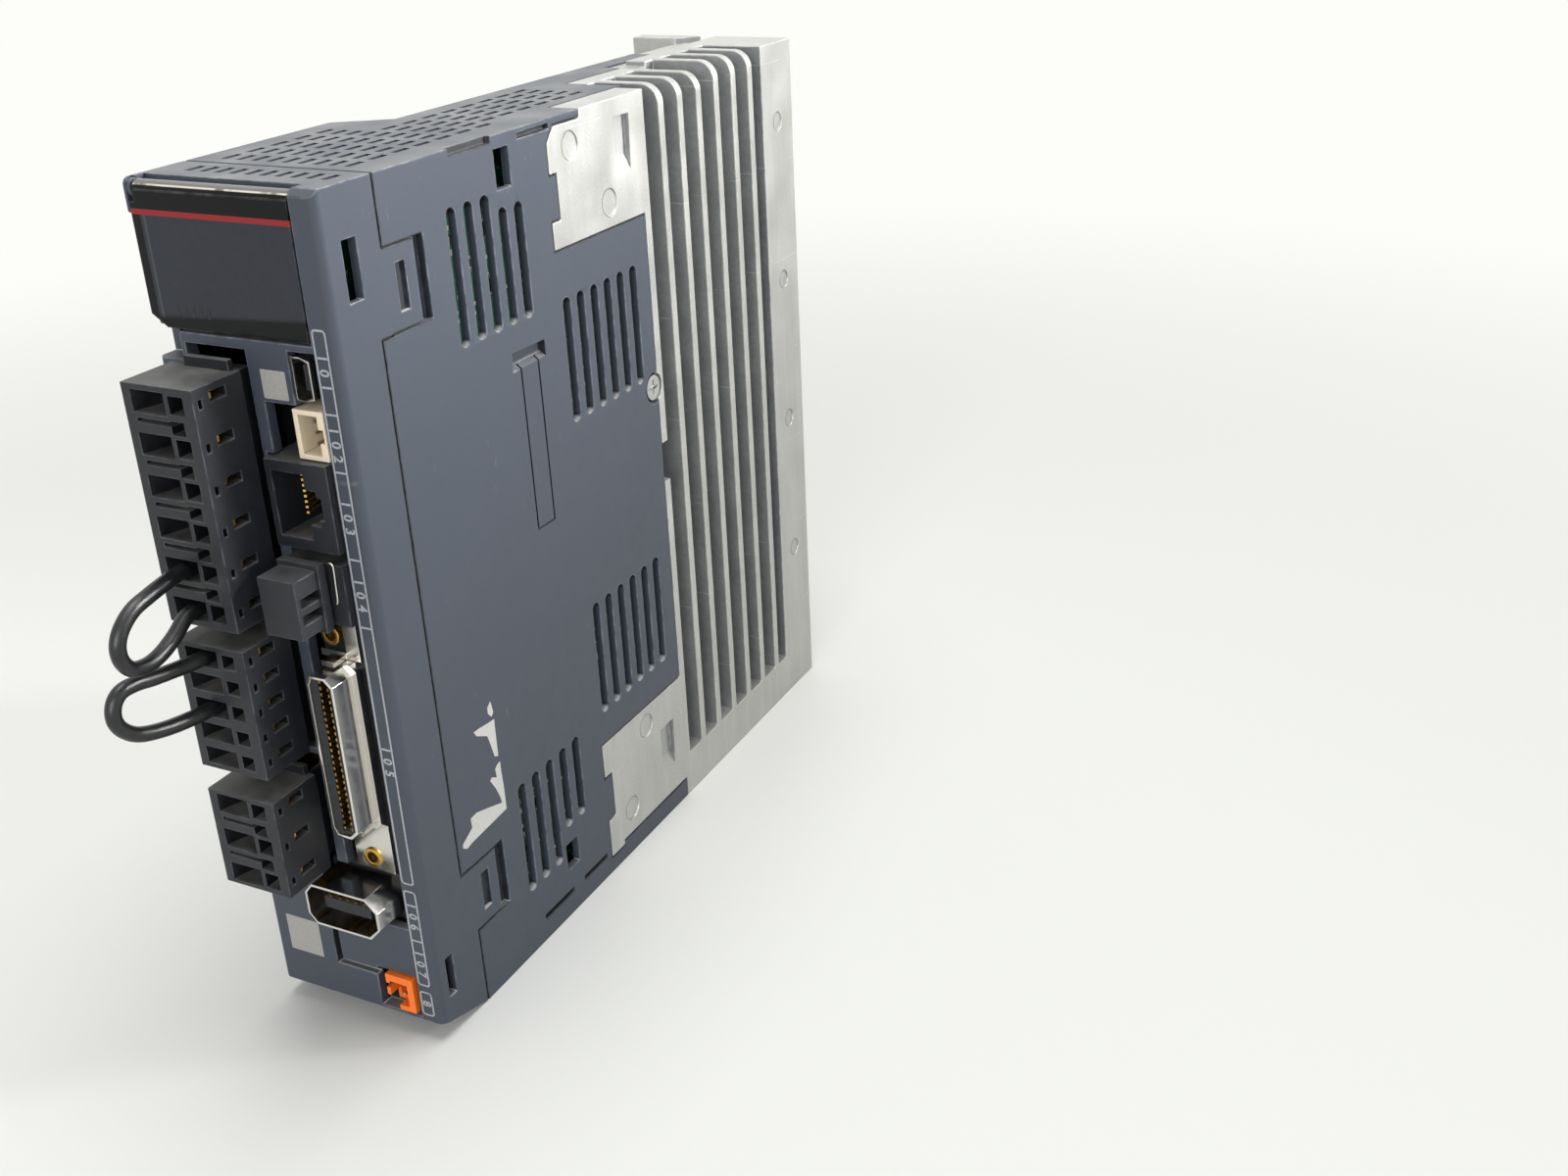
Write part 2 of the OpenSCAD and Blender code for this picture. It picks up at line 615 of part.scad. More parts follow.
module display_cover() {
    color([0.2, 0.18, 0.19]) {
        rod_x(ear_x + gap, pillar_x - gap, hinge_y, hinge_z, barrel_r);
        rod_x(ear_x - pin_l, pillar_x + pin_l, hinge_y, hinge_z, hinge_pin_r);
        along_y(0, flap_t) polygon([[flap_x, flap_base + flap_cut[1]],
            [flap_x + flap_cut[0], flap_base + 0.2], [pillar_x - gap, flap_base + 0.2],
            [pillar_x - gap, hinge_z], [ear_x + gap, hinge_z],
            [ear_x + gap, hinge_z - flap_drop], [flap_x, hinge_z - flap_drop]]);
    }
}

module display_board() {
    color([0.1, 0.35, 0.2]) block([power_x + 0.4, display_y, flap_base + 0.6],
        [board_x - 1.3, display_y + board_t, case_h - 3.4]);
}

module segment_display() {
    color([0.1, 0.1, 0.11]) block([window[0] + gap, panel_y + 0.2, window[1] + gap],
        [window[2] - gap, display_y, window[3] - gap]);
}

module tact_switches() {
    color([0.15, 0.15, 0.16]) for (x = key_x) {
        block([x - 2.2, switch_y, key_z - 2.2], [x + 2.2, display_y, key_z + 2.2]);
    }
}

module key(n) {
    color([0.75, 0.75, 0.76]) {
        rod_y(key_front, key_flange_y + key_flange_t, key_x[n], key_z, key_r);
        rod_y(key_flange_y, key_flange_y + key_flange_t, key_x[n], key_z, key_r + 0.8);
    }
}

module mode_button() {
    key(0);
}

module up_button() {
    key(1);
}

module down_button() {
    key(2);
}

module set_button() {
    key(3);
}

module control_board() {
    color([0.1, 0.35, 0.2]) block([board_x, board_front, board_z[0]],
        [board_x + board_t, board_back, board_z[1]]);
}

module board_link() {
    color([0.9, 0.88, 0.8]) block([board_x - 1.3, display_y, flap_base + 4],
        [board_x, display_y + 3.4, flap_base + 16]);
}

module board_spacers() {
    color([0.75, 0.7, 0.5]) for (y = post_y, z = post_z) {
        rod_x(power_x, board_x, y, z, post_r);
    }
}

module board_screws() {
    color([0.7, 0.7, 0.72]) for (y = post_y, z = post_z) {
        rod_x(board_x + board_t, board_x + board_t + screw_head_h, y, z, screw_head_r);
    }
}

module power_board() {
    color([0.12, 0.4, 0.24]) block([power_x - board_t, power_y[0], power_z[0]],
        [power_x, power_y[1], power_z[1]]);
}

module power_module() {
    color([0.12, 0.12, 0.13]) {
        difference() {
            block([base_x - 6.4, module_y[0], module_z[0]], [base_x - 0.4, module_y[1], module_z[1]]);
            for (z = module_holes) {
                rod_x(base_x - 7, base_x, (module_y[0] + module_y[1]) / 2, z, 1.7);
            }
        }
        for (i = [0:8], z = [module_z[0] + 8, module_z[1] - 9]) {
            block([power_x, module_y[0] + 4 + 4 * i, z], [base_x - 6.2, module_y[0] + 4.8 + 4 * i, z + 1]);
        }
    }
}

module module_screws() {
    color([0.7, 0.7, 0.72]) for (z = module_holes) {
        rod_x(base_x - 8.2, base_x - 6.4, (module_y[0] + module_y[1]) / 2, z, 2.7);
        rod_x(base_x - 6.6, base_x + 3.6, (module_y[0] + module_y[1]) / 2, z, 1.45);
    }
}

module thermal_sheet() {
    color([0.85, 0.85, 0.88]) difference() {
        block([base_x - 0.4, module_y[0], module_z[0]], [base_x, module_y[1], module_z[1]]);
        for (z = module_holes) {
            rod_x(base_x - 1, base_x + 1, (module_y[0] + module_y[1]) / 2, z, 1.7);
        }
    }
}

module rectifier() {
    color([0.12, 0.12, 0.13]) {
        block([base_x - 5, module_y[0] + 8, 122], [base_x, module_y[0] + 36, 142]);
        for (i = [0:3]) {
            block([power_x, module_y[0] + 11 + 7 * i, 131], [base_x - 4.8, module_y[0] + 12.2 + 7 * i, 132]);
        }
    }
}

module bus_capacitors() {
    color([0.14, 0.16, 0.3]) for (i = [0:2]) {
        rod_x(power_x, board_x - 2.4, capacitor_y, capacitor_z + i * capacitor_pitch, capacitor_r);
    }
}

module inrush_relay() {
    color([0.85, 0.6, 0.2]) block([power_x, 40, power_z[1] - 25],
        [power_x + 15.6, 68, power_z[1] - 12]);
}

module current_sensors() {
    color([0.15, 0.15, 0.16]) for (z = [42, 52]) {
        block([power_x, 18, z - 4], [power_x + 5, 30, z + 4]);
    }
}

module case_screw() {
    color([0.72, 0.72, 0.72]) difference() {
        union() {
            rod_x(plate_x, plate_x + 1.5, boss[0], boss[1], 2.75);
            rod_x(plate_x - 7.6, plate_x + 0.5, boss[0], boss[1], 1.3);
        }
        block([plate_x + 0.8, boss[0] - 1.8, boss[1] - 0.3], [xr + cut, boss[0] + 1.8, boss[1] + 0.3]);
        block([plate_x + 0.8, boss[0] - 0.3, boss[1] - 1.8], [xr + cut, boss[0] + 0.3, boss[1] + 1.8]);
    }
}

module earth_screws() {
    color([0.8, 0.78, 0.6]) for (y = earth_y) {
        difference() {
            union() {
                translate([earth_x, y, earth_pocket - 2.8]) cylinder(h = 2.8, r = 3.9);
                translate([earth_x, y, earth_pocket - 1]) cylinder(h = 4.8, r = 1.95);
            }
            block([earth_x - 2.6, y - 0.4, 0], [earth_x + 2.6, y + 0.4, earth_pocket - 1.8]);
            block([earth_x - 0.4, y - 2.6, 0], [earth_x + 0.4, y + 2.6, earth_pocket - 1.8]);
        }
    }
}

function low_edge(s) = s[0] - (s[1] - 1) * s[2] - s[3];
function high_edge(s) = s[0] + s[3];

module header(s) {
    room = plug_fit - 0.8;
    color([0.1, 0.1, 0.11]) difference() {
        block([power_x, header_front, low_edge(s) - room - header_wall],
            [insert_x[1] + plug_fit + header_wall, header_back, high_edge(s) + room + header_wall]);
        block([insert_x[0] - plug_fit, header_front - cut, low_edge(s) - room],
            [insert_x[1] + plug_fit, insert_end + 0.5, high_edge(s) + room]);
    }
}

module line_header() {
    header(line_set);
}

module link_header() {
    header(link_set);
}

module motor_header() {
    header(motor_set);
}

module header_pins() {
    color([0.8, 0.75, 0.55]) for (s = [line_set, link_set, motor_set], i = [0:s[1] - 1]) {
        rod_y(-1, insert_end + 0.5, pin_x, s[0] - i * s[2], pin_r);
    }
}

// Moulded wire plug: funnels for the wires, tool holes, test slots, rear sockets
module wire_plug(s, slits) {
    tall = s[2] > 6 ? 3.9 : 3.4;
    tool = s[2] > 6 ? tool_w : tool_w - 0.5;
    color([0.09, 0.09, 0.1]) difference() {
        union() {
            block([plug_x, -plug_reach, low_edge(s)], [plug_x + plug_w, plug_step, high_edge(s)]);
            block([insert_x[0], plug_step - 1, low_edge(s) + 0.8],
                [insert_x[1], insert_end, high_edge(s) - 0.8]);
            block([plug_x + 4.3, plug_step - 1.2, high_edge(s) - 1],
                [plug_x + 14, plug_step, high_edge(s) + 1.9]);
        }
        for (i = [0:s[1] - 1]) {
            translate([0, 0, s[0] - i * s[2]]) {
                translate([0, 0, -tall / 2]) linear_extrude(tall) polygon([
                    [mouth_x[0], -plug_reach - cut], [mouth_x[1], -plug_reach - cut],
                    [mouth_x[1], mouth_floor], [mouth_x[0] + 1.6, mouth_floor],
                    [mouth_x[0], -plug_reach + 0.8]]);
                block([tool_x - tool / 2, -plug_reach - cut, -tool / 2],
                    [tool_x + tool / 2, contact_front - 0.6, tool / 2]);
                block([contact_x[0], contact_front, -contact_h / 2 - gap],
                    [contact_x[1] + 0.2, insert_end + cut, contact_h / 2 + gap]);
                block([contact_x[1] - 1, contact_front - 2.2, 0],
                    [plug_x + plug_w + cut, contact_front + 1.5, 1.7]);
                block([plug_x + plug_w - 1, 1.2 - plug_reach, -0.6],
                    [plug_x + plug_w + cut, 2 - plug_reach, 1]);
            }
        }
        if (slits) {
            for (i = [0:s[1] - 2]) {
                translate([0, 0, s[0] - (i + 0.5) * s[2]]) {
                    block([slit_x[0], -plug_reach - cut, 0.1], [slit_x[1], 2.6 - plug_reach, 0.8]);
                    block([slit_x[1], -plug_reach - cut, -1.4], [slit_x[1] + 2.9, 2.6 - plug_reach, 1]);
                }
            }
        }
    }
}

module plug_contacts(s) {
    color([0.85, 0.7, 0.35]) for (i = [0:s[1] - 1]) {
        translate([0, 0, s[0] - i * s[2]]) difference() {
            union() {
                block([contact_x[0], contact_front, -contact_h / 2],
                    [contact_x[1], insert_end - 3, contact_h / 2]);
                // Test tab that shows at the front end of the side window
                translate([0, 0, 0.3]) linear_extrude(1.1) polygon([
                    [contact_x[1] - 1, contact_tab[0]], [plug_x + plug_w - 0.7, contact_tab[0]],
                    [plug_x + plug_w - 0.7, contact_tab[1]], [contact_x[1], contact_tab[1]],
                    [contact_x[1], contact_front + 1], [contact_x[1] - 1, contact_front + 1]]);
            }
            rod_y(-2, insert_end, pin_x, 0, pin_r + 0.35);
        }
    }
}

module line_plug() {
    wire_plug(line_set, true);
}

module line_contacts() {
    plug_contacts(line_set);
}

module link_plug() {
    wire_plug(link_set, false);
}

module link_contacts() {
    plug_contacts(link_set);
}

module motor_plug() {
    wire_plug(motor_set, true);
}

module motor_contacts() {
    plug_contacts(motor_set);
}

// Tube swept along a route: rings square to the route, flat ends
function unit(v) = v / norm(v);
function route_dir(p, i) = i == 0 || i == len(p) - 1 ? [0, i == 0 ? -1 : 1, 0] : unit(p[i + 1] - p[i - 1]);
function route_ring(p, i, r) = let (d = route_dir(p, i), a = unit(cross(d, [1, 0, 0])), b = cross(d, a))
    [for (k = [0:ring_sides - 1]) p[i] + r * (a * cos(360 * k / ring_sides) + b * sin(360 * k / ring_sides))];

module jumper(p, r) {
    rings = len(p);
    n = ring_sides;
    points = [for (i = [0:rings - 1]) each route_ring(p, i, r)];
    sides = [for (i = [0:rings - 2], k = [0:n - 1]) [i * n + k, i * n + (k + 1) % n,
        (i + 1) * n + (k + 1) % n, (i + 1) * n + k]];
    first = [[for (k = [0:n - 1]) n - 1 - k]];
    last = [[for (k = [0:n - 1]) (rings - 1) * n + k]];
    polyhedron(points = points, faces = concat(sides, first, last));
}

module line_jumper() {
    color([0.07, 0.07, 0.08]) translate([route_dx, 0, route_line_dz]) jumper(line_route, jumper_d / 2);
}

module link_jumper() {
    color([0.07, 0.07, 0.08]) translate([route_dx, 0, route_line_dz]) jumper(link_route, jumper_d / 2);
}

module usb_outline(g) {
    polygon([[board_x - 5 + g, usb_z - 3.9 + g], [board_x - 3 + g / 2, usb_z - 3.9 + g],
        [board_x - 1 - g, usb_z - 3.3 + g], [board_x - 1 - g, usb_z + 3.3 - g],
        [board_x - 3 + g / 2, usb_z + 3.9 - g], [board_x - 5 + g, usb_z + 3.9 - g]]);
}

module usb_shell() {
    color([0.72, 0.72, 0.74]) {
        difference() {
            along_y(-0.2, 8.6) usb_outline(0);
            along_y(-cut, 7.8) usb_outline(shell_t * 0.8);
        }
        for (z = [usb_z - 2.4, usb_z + 1.4]) {
            block([board_x - 1.2, board_front + 0.2, z], [board_x, 8.6, z + 1]);
        }
    }
}

module usb_tongue() {
    color([0.1, 0.1, 0.11]) block([board_x - 3.6, 1.2, usb_z - 2.2], [board_x - 2.6, 7.8, usb_z + 2.2]);
}

module monitor_port() {
    color([0.9, 0.85, 0.75]) difference() {
        block([board_x - 6.4, -0.2, monitor_z - 4.4], [board_x, 9, monitor_z + 4.4]);
        block([board_x - 5.4, -cut, monitor_z - 3.5], [board_x - 1.4, 6.4, monitor_z + 3.5]);
        block([board_x - 5.4, -cut, monitor_z - 1.2], [board_x - 0.4, 4, monitor_z + 1.2]);
    }
}

module monitor_pins() {
    color([0.8, 0.75, 0.6]) for (i = [-1:1]) {
        block([board_x - 3.6, 1.2, monitor_z + 2 * i - 0.25],
            [board_x - 3.1, 6.4, monitor_z + 2 * i + 0.25]);
    }
}

module serial_jack() {
    color([0.1, 0.1, 0.11]) difference() {
        block([board_x - 13.5, serial_front, serial_z - 8.1], [board_x, 13, serial_z + 8.1]);
        along_y(serial_front - cut, 11) {
            rect([board_x - 12.2, serial_z - jack_w / 2], [board_x - 5.4, serial_z + jack_w / 2]);
            rect([board_x - 6, serial_z - 3.2], [board_x - 3.2, serial_z + 3.2]);
            rect([board_x - 4, serial_z - 2], [board_x - 2.2, serial_z + 2]);
        }
    }
}

module serial_contacts() {
    color([0.85, 0.7, 0.35]) for (i = [0:7]) {
        translate([0, 0, serial_z + (i - 3.5) * 1.02 - 0.22]) linear_extrude(0.44) polygon([
            [board_x - 12.2, 11], [board_x - 12.2, 10], [board_x - 10.6, 3.6], [board_x - 10.2, 3.8],
            [board_x - 11.6, 11]]);
    }
}

module safety_socket() {
    color([0.1, 0.1, 0.11]) difference() {
        block([board_x - 12.2, -1.5, safety_z - 5.9], [board_x, 9.5, safety_z + 5.9]);
        block([board_x - 11.4, -2 - cut, safety_z - 5], [board_x - 3.8, 7, safety_z + 5]);
    }
}

module safety_pins() {
    color([0.8, 0.75, 0.6]) for (x = [board_x - 8.8, board_x - 6.6], i = [0:3]) {
        block([x, 0.6, safety_z + 2 * (i - 1.5) - 0.25], [x + 0.5, 7, safety_z + 2 * (i - 1.5) + 0.25]);
    }
}

module safety_plug() {
    color([0.42, 0.43, 0.46]) difference() {
        union() {
            block([board_x - 11.4, safety_front, safety_z - 5.2], [board_x - 3.4, -1.8, safety_z + 5.8]);
            block([board_x - 11.1, -2.8, safety_z - 4.7], [board_x - 4.1, 5.4, safety_z + 4.7]);
            block([board_x - 11.9, safety_flange[0], safety_z - 6.2],
                [board_x - 2.9, safety_flange[1], safety_z + 6.7]);
        }
        block([board_x - 10.2, -1, safety_z - 4], [board_x - 5, 5.4 + cut, safety_z + 4]);
        // Finger grooves of the right side
        for (z = safety_grooves) {
            block([board_x - 5.6, safety_front + 1, z], [board_x, safety_flange[0], z + 1.8]);
        }
    }
}

module io_outline(x0, x1, half, c) {
    polygon([[x0, io_z - half + c], [x0 + c / 2, io_z - half], [x1 - c, io_z - half], [x1, io_z - half + c],
        [x1, io_z + half - c], [x1 - c, io_z + half], [x0 + c / 2, io_z + half], [x0, io_z + half - c]]);
}

module io_shell() {
    color([0.75, 0.75, 0.76]) difference() {
        union() {
            along_y(io_front, io_face) io_outline(board_x - 8.2, board_x - 2.4, io_half, 1.6);
            along_y(io_step, io_face) io_outline(board_x - 8.9, board_x - 1.3, io_half + 0.4, 1.2);
        }
        along_y(io_front - cut, io_face + cut) io_outline(board_x - 8.2 + shell_t, board_x - 2.4 - shell_t,
            io_half - shell_t, 1.4);
    }
}

module io_insulator() {
    color([0.08, 0.08, 0.09]) difference() {
        union() {
            block([board_x - 9.8, io_face, io_z - 28], [board_x, 9.8, io_z + 25]);
            along_y(io_front + 0.8, io_face + 1) io_outline(board_x - 8.2 + shell_t, board_x - 2.4 - shell_t,
                io_half - shell_t, 1.4);
        }
        block([board_x - 6.4, io_front, io_z - 15.9], [board_x - 4.2, io_face - 1, io_z + 15.9]);
    }
}

module io_contacts() {
    color([0.85, 0.72, 0.4]) for (x = [board_x - 6.4, board_x - 4.6], i = [0:io_row - 1]) {
        translate([0, 0, io_z + (i - (io_row - 1) / 2) * io_pitch])
            block([x, io_front + 1, -0.3], [x + 0.4, io_face - 1, 0.3]);
    }
}

module io_brackets() {
    color([0.75, 0.74, 0.7]) difference() {
        union() {
            for (s = [[io_z + 17.2, io_z + 25], [io_z - 28, io_z - 17.2]]) {
                block([board_x - 10, io_face - 1, s[0]], [board_x - 1.2, io_face, s[1]]);
            }
            // Latch tabs over the two ends of the shell
            for (z = [io_z + 17.2, io_z - 18.2]) {
                block([board_x - 7.2, io_face - 4.4, z], [board_x - 4.4, io_face - 0.5, z + 1]);
            }
        }
        block([board_x - 11, io_face - 2, io_z + 18.6], [board_x - 4.2, io_face + cut, io_z + 26]);
        rod_y(io_face - 2, io_face + cut, lower_nut[0], lower_nut[1], 2);
    }
}

module io_lock_nuts() {
    color([0.75, 0.65, 0.4]) for (p = [upper_nut, lower_nut]) {
        difference() {
            rod_y(io_face - 1.4, io_face, p[0], p[1], 2);
            rod_y(io_face - 2, io_face + cut, p[0], p[1], 1.15);
        }
    }
}

module encoder_outline(g) {
    x0 = xr - 23.7;
    polygon([[x0 + 1.9, encoder_z + 4.6 - g], [xr - 9 - g / 2, encoder_z + 4.6 - g],
        [xr - 6.5 - g, encoder_z + 1.8], [xr - 6.5 - g, encoder_z - 1.9],
        [xr - 9 - g / 2, encoder_z - 4.6 + g], [x0 + 1.9, encoder_z - 4.6 + g],
        [x0 + g, encoder_z - 2.4], [x0 + g, encoder_z + 2.4]]);
}

module encoder_shell() {
    color([0.75, 0.75, 0.76]) difference() {
        along_y(encoder_front, encoder_face) encoder_outline(0);
        along_y(encoder_front - cut, encoder_face + cut) encoder_outline(shell_t);
    }
}

module encoder_insulator() {
    color([0.08, 0.08, 0.09]) {
        block([xr - 23.7, encoder_face, encoder_z - 5], [board_x, 10.4, encoder_z + 5]);
        block([xr - 20.5, encoder_front + 1.6, encoder_z - 1.2],
            [xr - 9.5, encoder_face + 1, encoder_z + 1.2]);
    }
}

module encoder_contacts() {
    color([0.85, 0.72, 0.4]) for (i = [0:4], z = [encoder_z - 1.5, encoder_z + 1.2]) {
        block([xr - 19.6 + 2 * i, encoder_front + 2, z], [xr - 18.8 + 2 * i, encoder_face, z + 0.3]);
    }
}

module battery_socket() {
    color([0.95, 0.45, 0.1]) difference() {
        union() {
            block([board_x - 7.2, -0.6, battery_z - 3.7], [board_x - 0.7, 8, battery_z + 4.2]);
            block([board_x - 2, board_front + 0.4, battery_z - 2.4], [board_x, 8, battery_z + 2.6]);
        }
        block([board_x - 6.4, -cut, battery_z - 2.6], [board_x - 2.2, 5.6, battery_z + 2.6]);
        block([board_x - 8, -cut, battery_z - 4], [board_x - 4.6, 2.4, battery_z - 0.8]);
        block([board_x - 8, -cut, battery_z + 1], [board_x - 5.6, 1.6, battery_z + 2]);
    }
}

module battery_pins() {
    color([0.8, 0.75, 0.6]) for (z = [battery_z - 1.3, battery_z + 0.9]) {
        block([board_x - 4.6, 1, z], [board_x - 4.1, 5.6, z + 0.5]);
    }
}

placed() heat_sink();
placed() main_case();
placed() front_case();
placed() display_cover();
placed() display_board();
placed() segment_display();
placed() tact_switches();
placed() mode_button();
placed() up_button();
placed() down_button();
placed() set_button();
placed() control_board();
placed() board_link();
placed() board_spacers();
placed() board_screws();
placed() power_board();
placed() power_module();
placed() module_screws();
placed() thermal_sheet();
placed() rectifier();
placed() bus_capacitors();
placed() inrush_relay();
placed() current_sensors();
placed() case_screw();
placed() earth_screws();
placed() line_header();
placed() link_header();
placed() motor_header();
placed() header_pins();
placed() line_plug();
placed() line_contacts();
placed() line_jumper();
placed() link_plug();
placed() link_contacts();
placed() link_jumper();
placed() motor_plug();
placed() motor_contacts();
placed() usb_shell();
placed() usb_tongue();
placed() monitor_port();
placed() monitor_pins();
placed() serial_jack();
placed() serial_contacts();
placed() safety_socket();
placed() safety_pins();
placed() safety_plug();
placed() io_shell();
placed() io_insulator();
placed() io_contacts();
placed() io_brackets();
placed() io_lock_nuts();
placed() encoder_shell();
placed() encoder_insulator();
placed() encoder_contacts();
placed() battery_socket();
placed() battery_pins();
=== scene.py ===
import json
import math

import bmesh
import bpy
import numpy as np
from mathutils import Matrix, Vector
from mathutils.bvhtree import BVHTree


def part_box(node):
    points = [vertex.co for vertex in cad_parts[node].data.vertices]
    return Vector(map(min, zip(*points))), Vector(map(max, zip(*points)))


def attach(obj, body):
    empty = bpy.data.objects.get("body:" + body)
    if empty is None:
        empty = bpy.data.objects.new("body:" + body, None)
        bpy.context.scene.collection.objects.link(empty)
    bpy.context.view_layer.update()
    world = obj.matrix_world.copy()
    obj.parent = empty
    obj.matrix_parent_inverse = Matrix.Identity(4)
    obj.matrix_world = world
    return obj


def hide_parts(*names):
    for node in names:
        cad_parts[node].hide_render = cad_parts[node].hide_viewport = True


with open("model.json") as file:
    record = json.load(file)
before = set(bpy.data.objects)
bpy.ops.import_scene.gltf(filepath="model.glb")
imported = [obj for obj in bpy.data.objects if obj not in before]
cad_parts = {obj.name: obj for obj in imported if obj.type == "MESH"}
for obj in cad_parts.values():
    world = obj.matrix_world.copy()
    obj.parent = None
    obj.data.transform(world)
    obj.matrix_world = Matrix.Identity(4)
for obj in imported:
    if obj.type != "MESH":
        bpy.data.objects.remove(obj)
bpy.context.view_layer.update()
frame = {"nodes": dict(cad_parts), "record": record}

mm = 0.001
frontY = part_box("front_case")[0].y  # plane of the front face
scene = bpy.context.scene
scene.view_settings.view_transform = "Standard"


def at(x, y, z):
    # millimetres right, behind the front face and up, as a point of the frame
    return Vector((x * mm, frontY + y * mm, z * mm))


def points(rows):
    # rows of x, y, z in millimetres as an array of the frame
    return np.array(rows, float) * mm + np.array([0, frontY, 0])


def tone(red, green, blue):
    # screen colour 0 to 255 as linear light
    parts = np.array([red, green, blue]) / 255
    light = np.where(parts <= 0.04045, parts / 12.92, ((parts + 0.055) / 1.055) ** 2.4)
    return (*light.tolist(), 1.0)


# Camera and studio
cameraPlace = {"x": 200.83, "y": -200.61, "z": 217.85, "lens": 38.358, "sensor": 36,
               "forward": (-0.4107, 0.8070, -0.4243), "right": (0.8988, 0.4367, -0.0395)}


def makeCamera(place):
    forward = Vector(place["forward"]).normalized()
    right = Vector(place["right"])
    right = (right - forward * right.dot(forward)).normalized()
    up = right.cross(forward)
    camera = bpy.data.objects.new("camera", bpy.data.cameras.new("camera"))
    camera.data.lens = place["lens"]
    camera.data.sensor_width = place["sensor"]
    camera.data.clip_start = 0.01
    turn = Matrix((right, up, -forward)).transposed().to_4x4()
    camera.matrix_world = Matrix.Translation(at(place["x"], place["y"], place["z"])) @ turn
    scene.collection.objects.link(camera)
    scene.camera = camera


makeCamera(cameraPlace)
print("camera set")

studio = {"ambient": 0.33, "floorRadius": 4.0, "fadeStart": 0.2, "fadeEnd": 0.7,
          "floorColor": tone(224, 225, 221), "wallColor": tone(253, 253, 249)}
lamps = [
    {"name": "ceilingLamp", "place": (0.1, 0.1, 1.3), "aim": (0, 0, 0.08), "size": 1.0, "power": 9.5,
     "spread": 150},
    {"name": "sideLamp", "place": (0.72, 0.42, 0.62), "aim": (0.02, -0.01, 0.38), "size": 0.5, "power": 1.5,
     "spread": 20},
    {"name": "frontLamp", "place": (0.4, -1.2, 0.5), "aim": (0, 0, 0.06), "size": 0.8, "power": 3.8,
     "spread": 120},
]


def addNode(tree, kind, inputs=None, **settings):
    # node with its settings, and its sockets linked or set
    node = tree.nodes.new(kind)
    for key, value in settings.items():
        setattr(node, key, value)
    for key, value in (inputs or {}).items():
        if isinstance(value, bpy.types.NodeSocket):
            tree.links.new(value, node.inputs[key])
        else:
            node.inputs[key].default_value = value
    return node


def seenRays(tree):
    # 1 for rays that look straight at, mirror or pass through to the background
    rays = addNode(tree, "ShaderNodeLightPath").outputs
    mirrored = addNode(tree, "ShaderNodeMath", {0: rays["Is Camera Ray"], 1: rays["Is Glossy Ray"]},
                       operation="MAXIMUM")
    seen = addNode(tree, "ShaderNodeMath", {0: mirrored.outputs[0], 1: rays["Is Transmission Ray"]},
                   operation="MAXIMUM")
    return seen.outputs[0]


def makeWorld(values):
    world = bpy.data.worlds.new("studioAir")
    world.use_nodes = True
    tree = world.node_tree
    tree.nodes.clear()
    plain = addNode(tree, "ShaderNodeBackground", {"Color": (1, 1, 1, 1), "Strength": values["ambient"]})
    wall = addNode(tree, "ShaderNodeBackground", {"Color": values["wallColor"], "Strength": 1.0})
    mixed = addNode(tree, "ShaderNodeMixShader",
                    {0: seenRays(tree), 1: plain.outputs[0], 2: wall.outputs[0]})
    addNode(tree, "ShaderNodeOutputWorld", {"Surface": mixed.outputs[0]})
    scene.world = world


def makeFloor(values):
    # disc of rings and spokes: point = radius * (cos a, sin a), flat at z = 0
    spokes, rings = 64, 24
    angle = np.linspace(0, 2 * np.pi, spokes, endpoint=False)
    radius = values["floorRadius"] * np.linspace(0, 1, rings + 1)[1:] ** 2
    circle = np.stack([np.cos(angle), np.sin(angle), 0 * angle], 1)
    rows = (radius[:, None, None] * circle).reshape(-1, 3)
    ring, spoke = np.meshgrid(np.arange(rings - 1), np.arange(spokes), indexing="ij")
    start = (ring * spokes + spoke).ravel()
    following = (ring * spokes + (spoke + 1) % spokes).ravel()
    quads = np.stack([start, start + spokes, following + spokes, following], 1)
    mesh = bpy.data.meshes.new("floor")
    mesh.from_pydata(rows.tolist(), [], quads.tolist() + [list(range(spokes))])
    floor = bpy.data.objects.new("floor", mesh)
    scene.collection.objects.link(floor)
    material = bpy.data.materials.new("paleFloor")
    material.use_nodes = True
    tree = material.node_tree
    tree.nodes.clear()
    place = addNode(tree, "ShaderNodeTexCoord").outputs["Object"]
    far = addNode(tree, "ShaderNodeVectorMath", {0: place}, operation="LENGTH").outputs["Value"]
    fade = addNode(tree, "ShaderNodeMapRange",
                   {"Value": far, "From Min": values["fadeStart"], "From Max": values["fadeEnd"]},
                   interpolation_type="SMOOTHSTEP")
    share = addNode(tree, "ShaderNodeMath", {0: fade.outputs[0], 1: seenRays(tree)}, operation="MULTIPLY")
    paint = addNode(tree, "ShaderNodeBsdfPrincipled",
                    {"Base Color": values["floorColor"], "Roughness": 0.55})
    glow = addNode(tree, "ShaderNodeEmission", {"Color": values["wallColor"], "Strength": 1.0})
    mixed = addNode(tree, "ShaderNodeMixShader",
                    {0: share.outputs[0], 1: paint.outputs[0], 2: glow.outputs[0]})
    addNode(tree, "ShaderNodeOutputMaterial", {"Surface": mixed.outputs[0]})
    mesh.materials.append(material)


def makeLamp(values):
    lamp = bpy.data.objects.new(values["name"], bpy.data.lights.new(values["name"], "AREA"))
    lamp.data.shape = "DISK"
    lamp.data.size = values["size"]
    lamp.data.energy = values["power"]
    lamp.data.spread = math.radians(values["spread"])
    lamp.location = values["place"]
    lamp.rotation_euler = (Vector(values["aim"]) - lamp.location).to_track_quat("-Z", "Y").to_euler()
    scene.collection.objects.link(lamp)


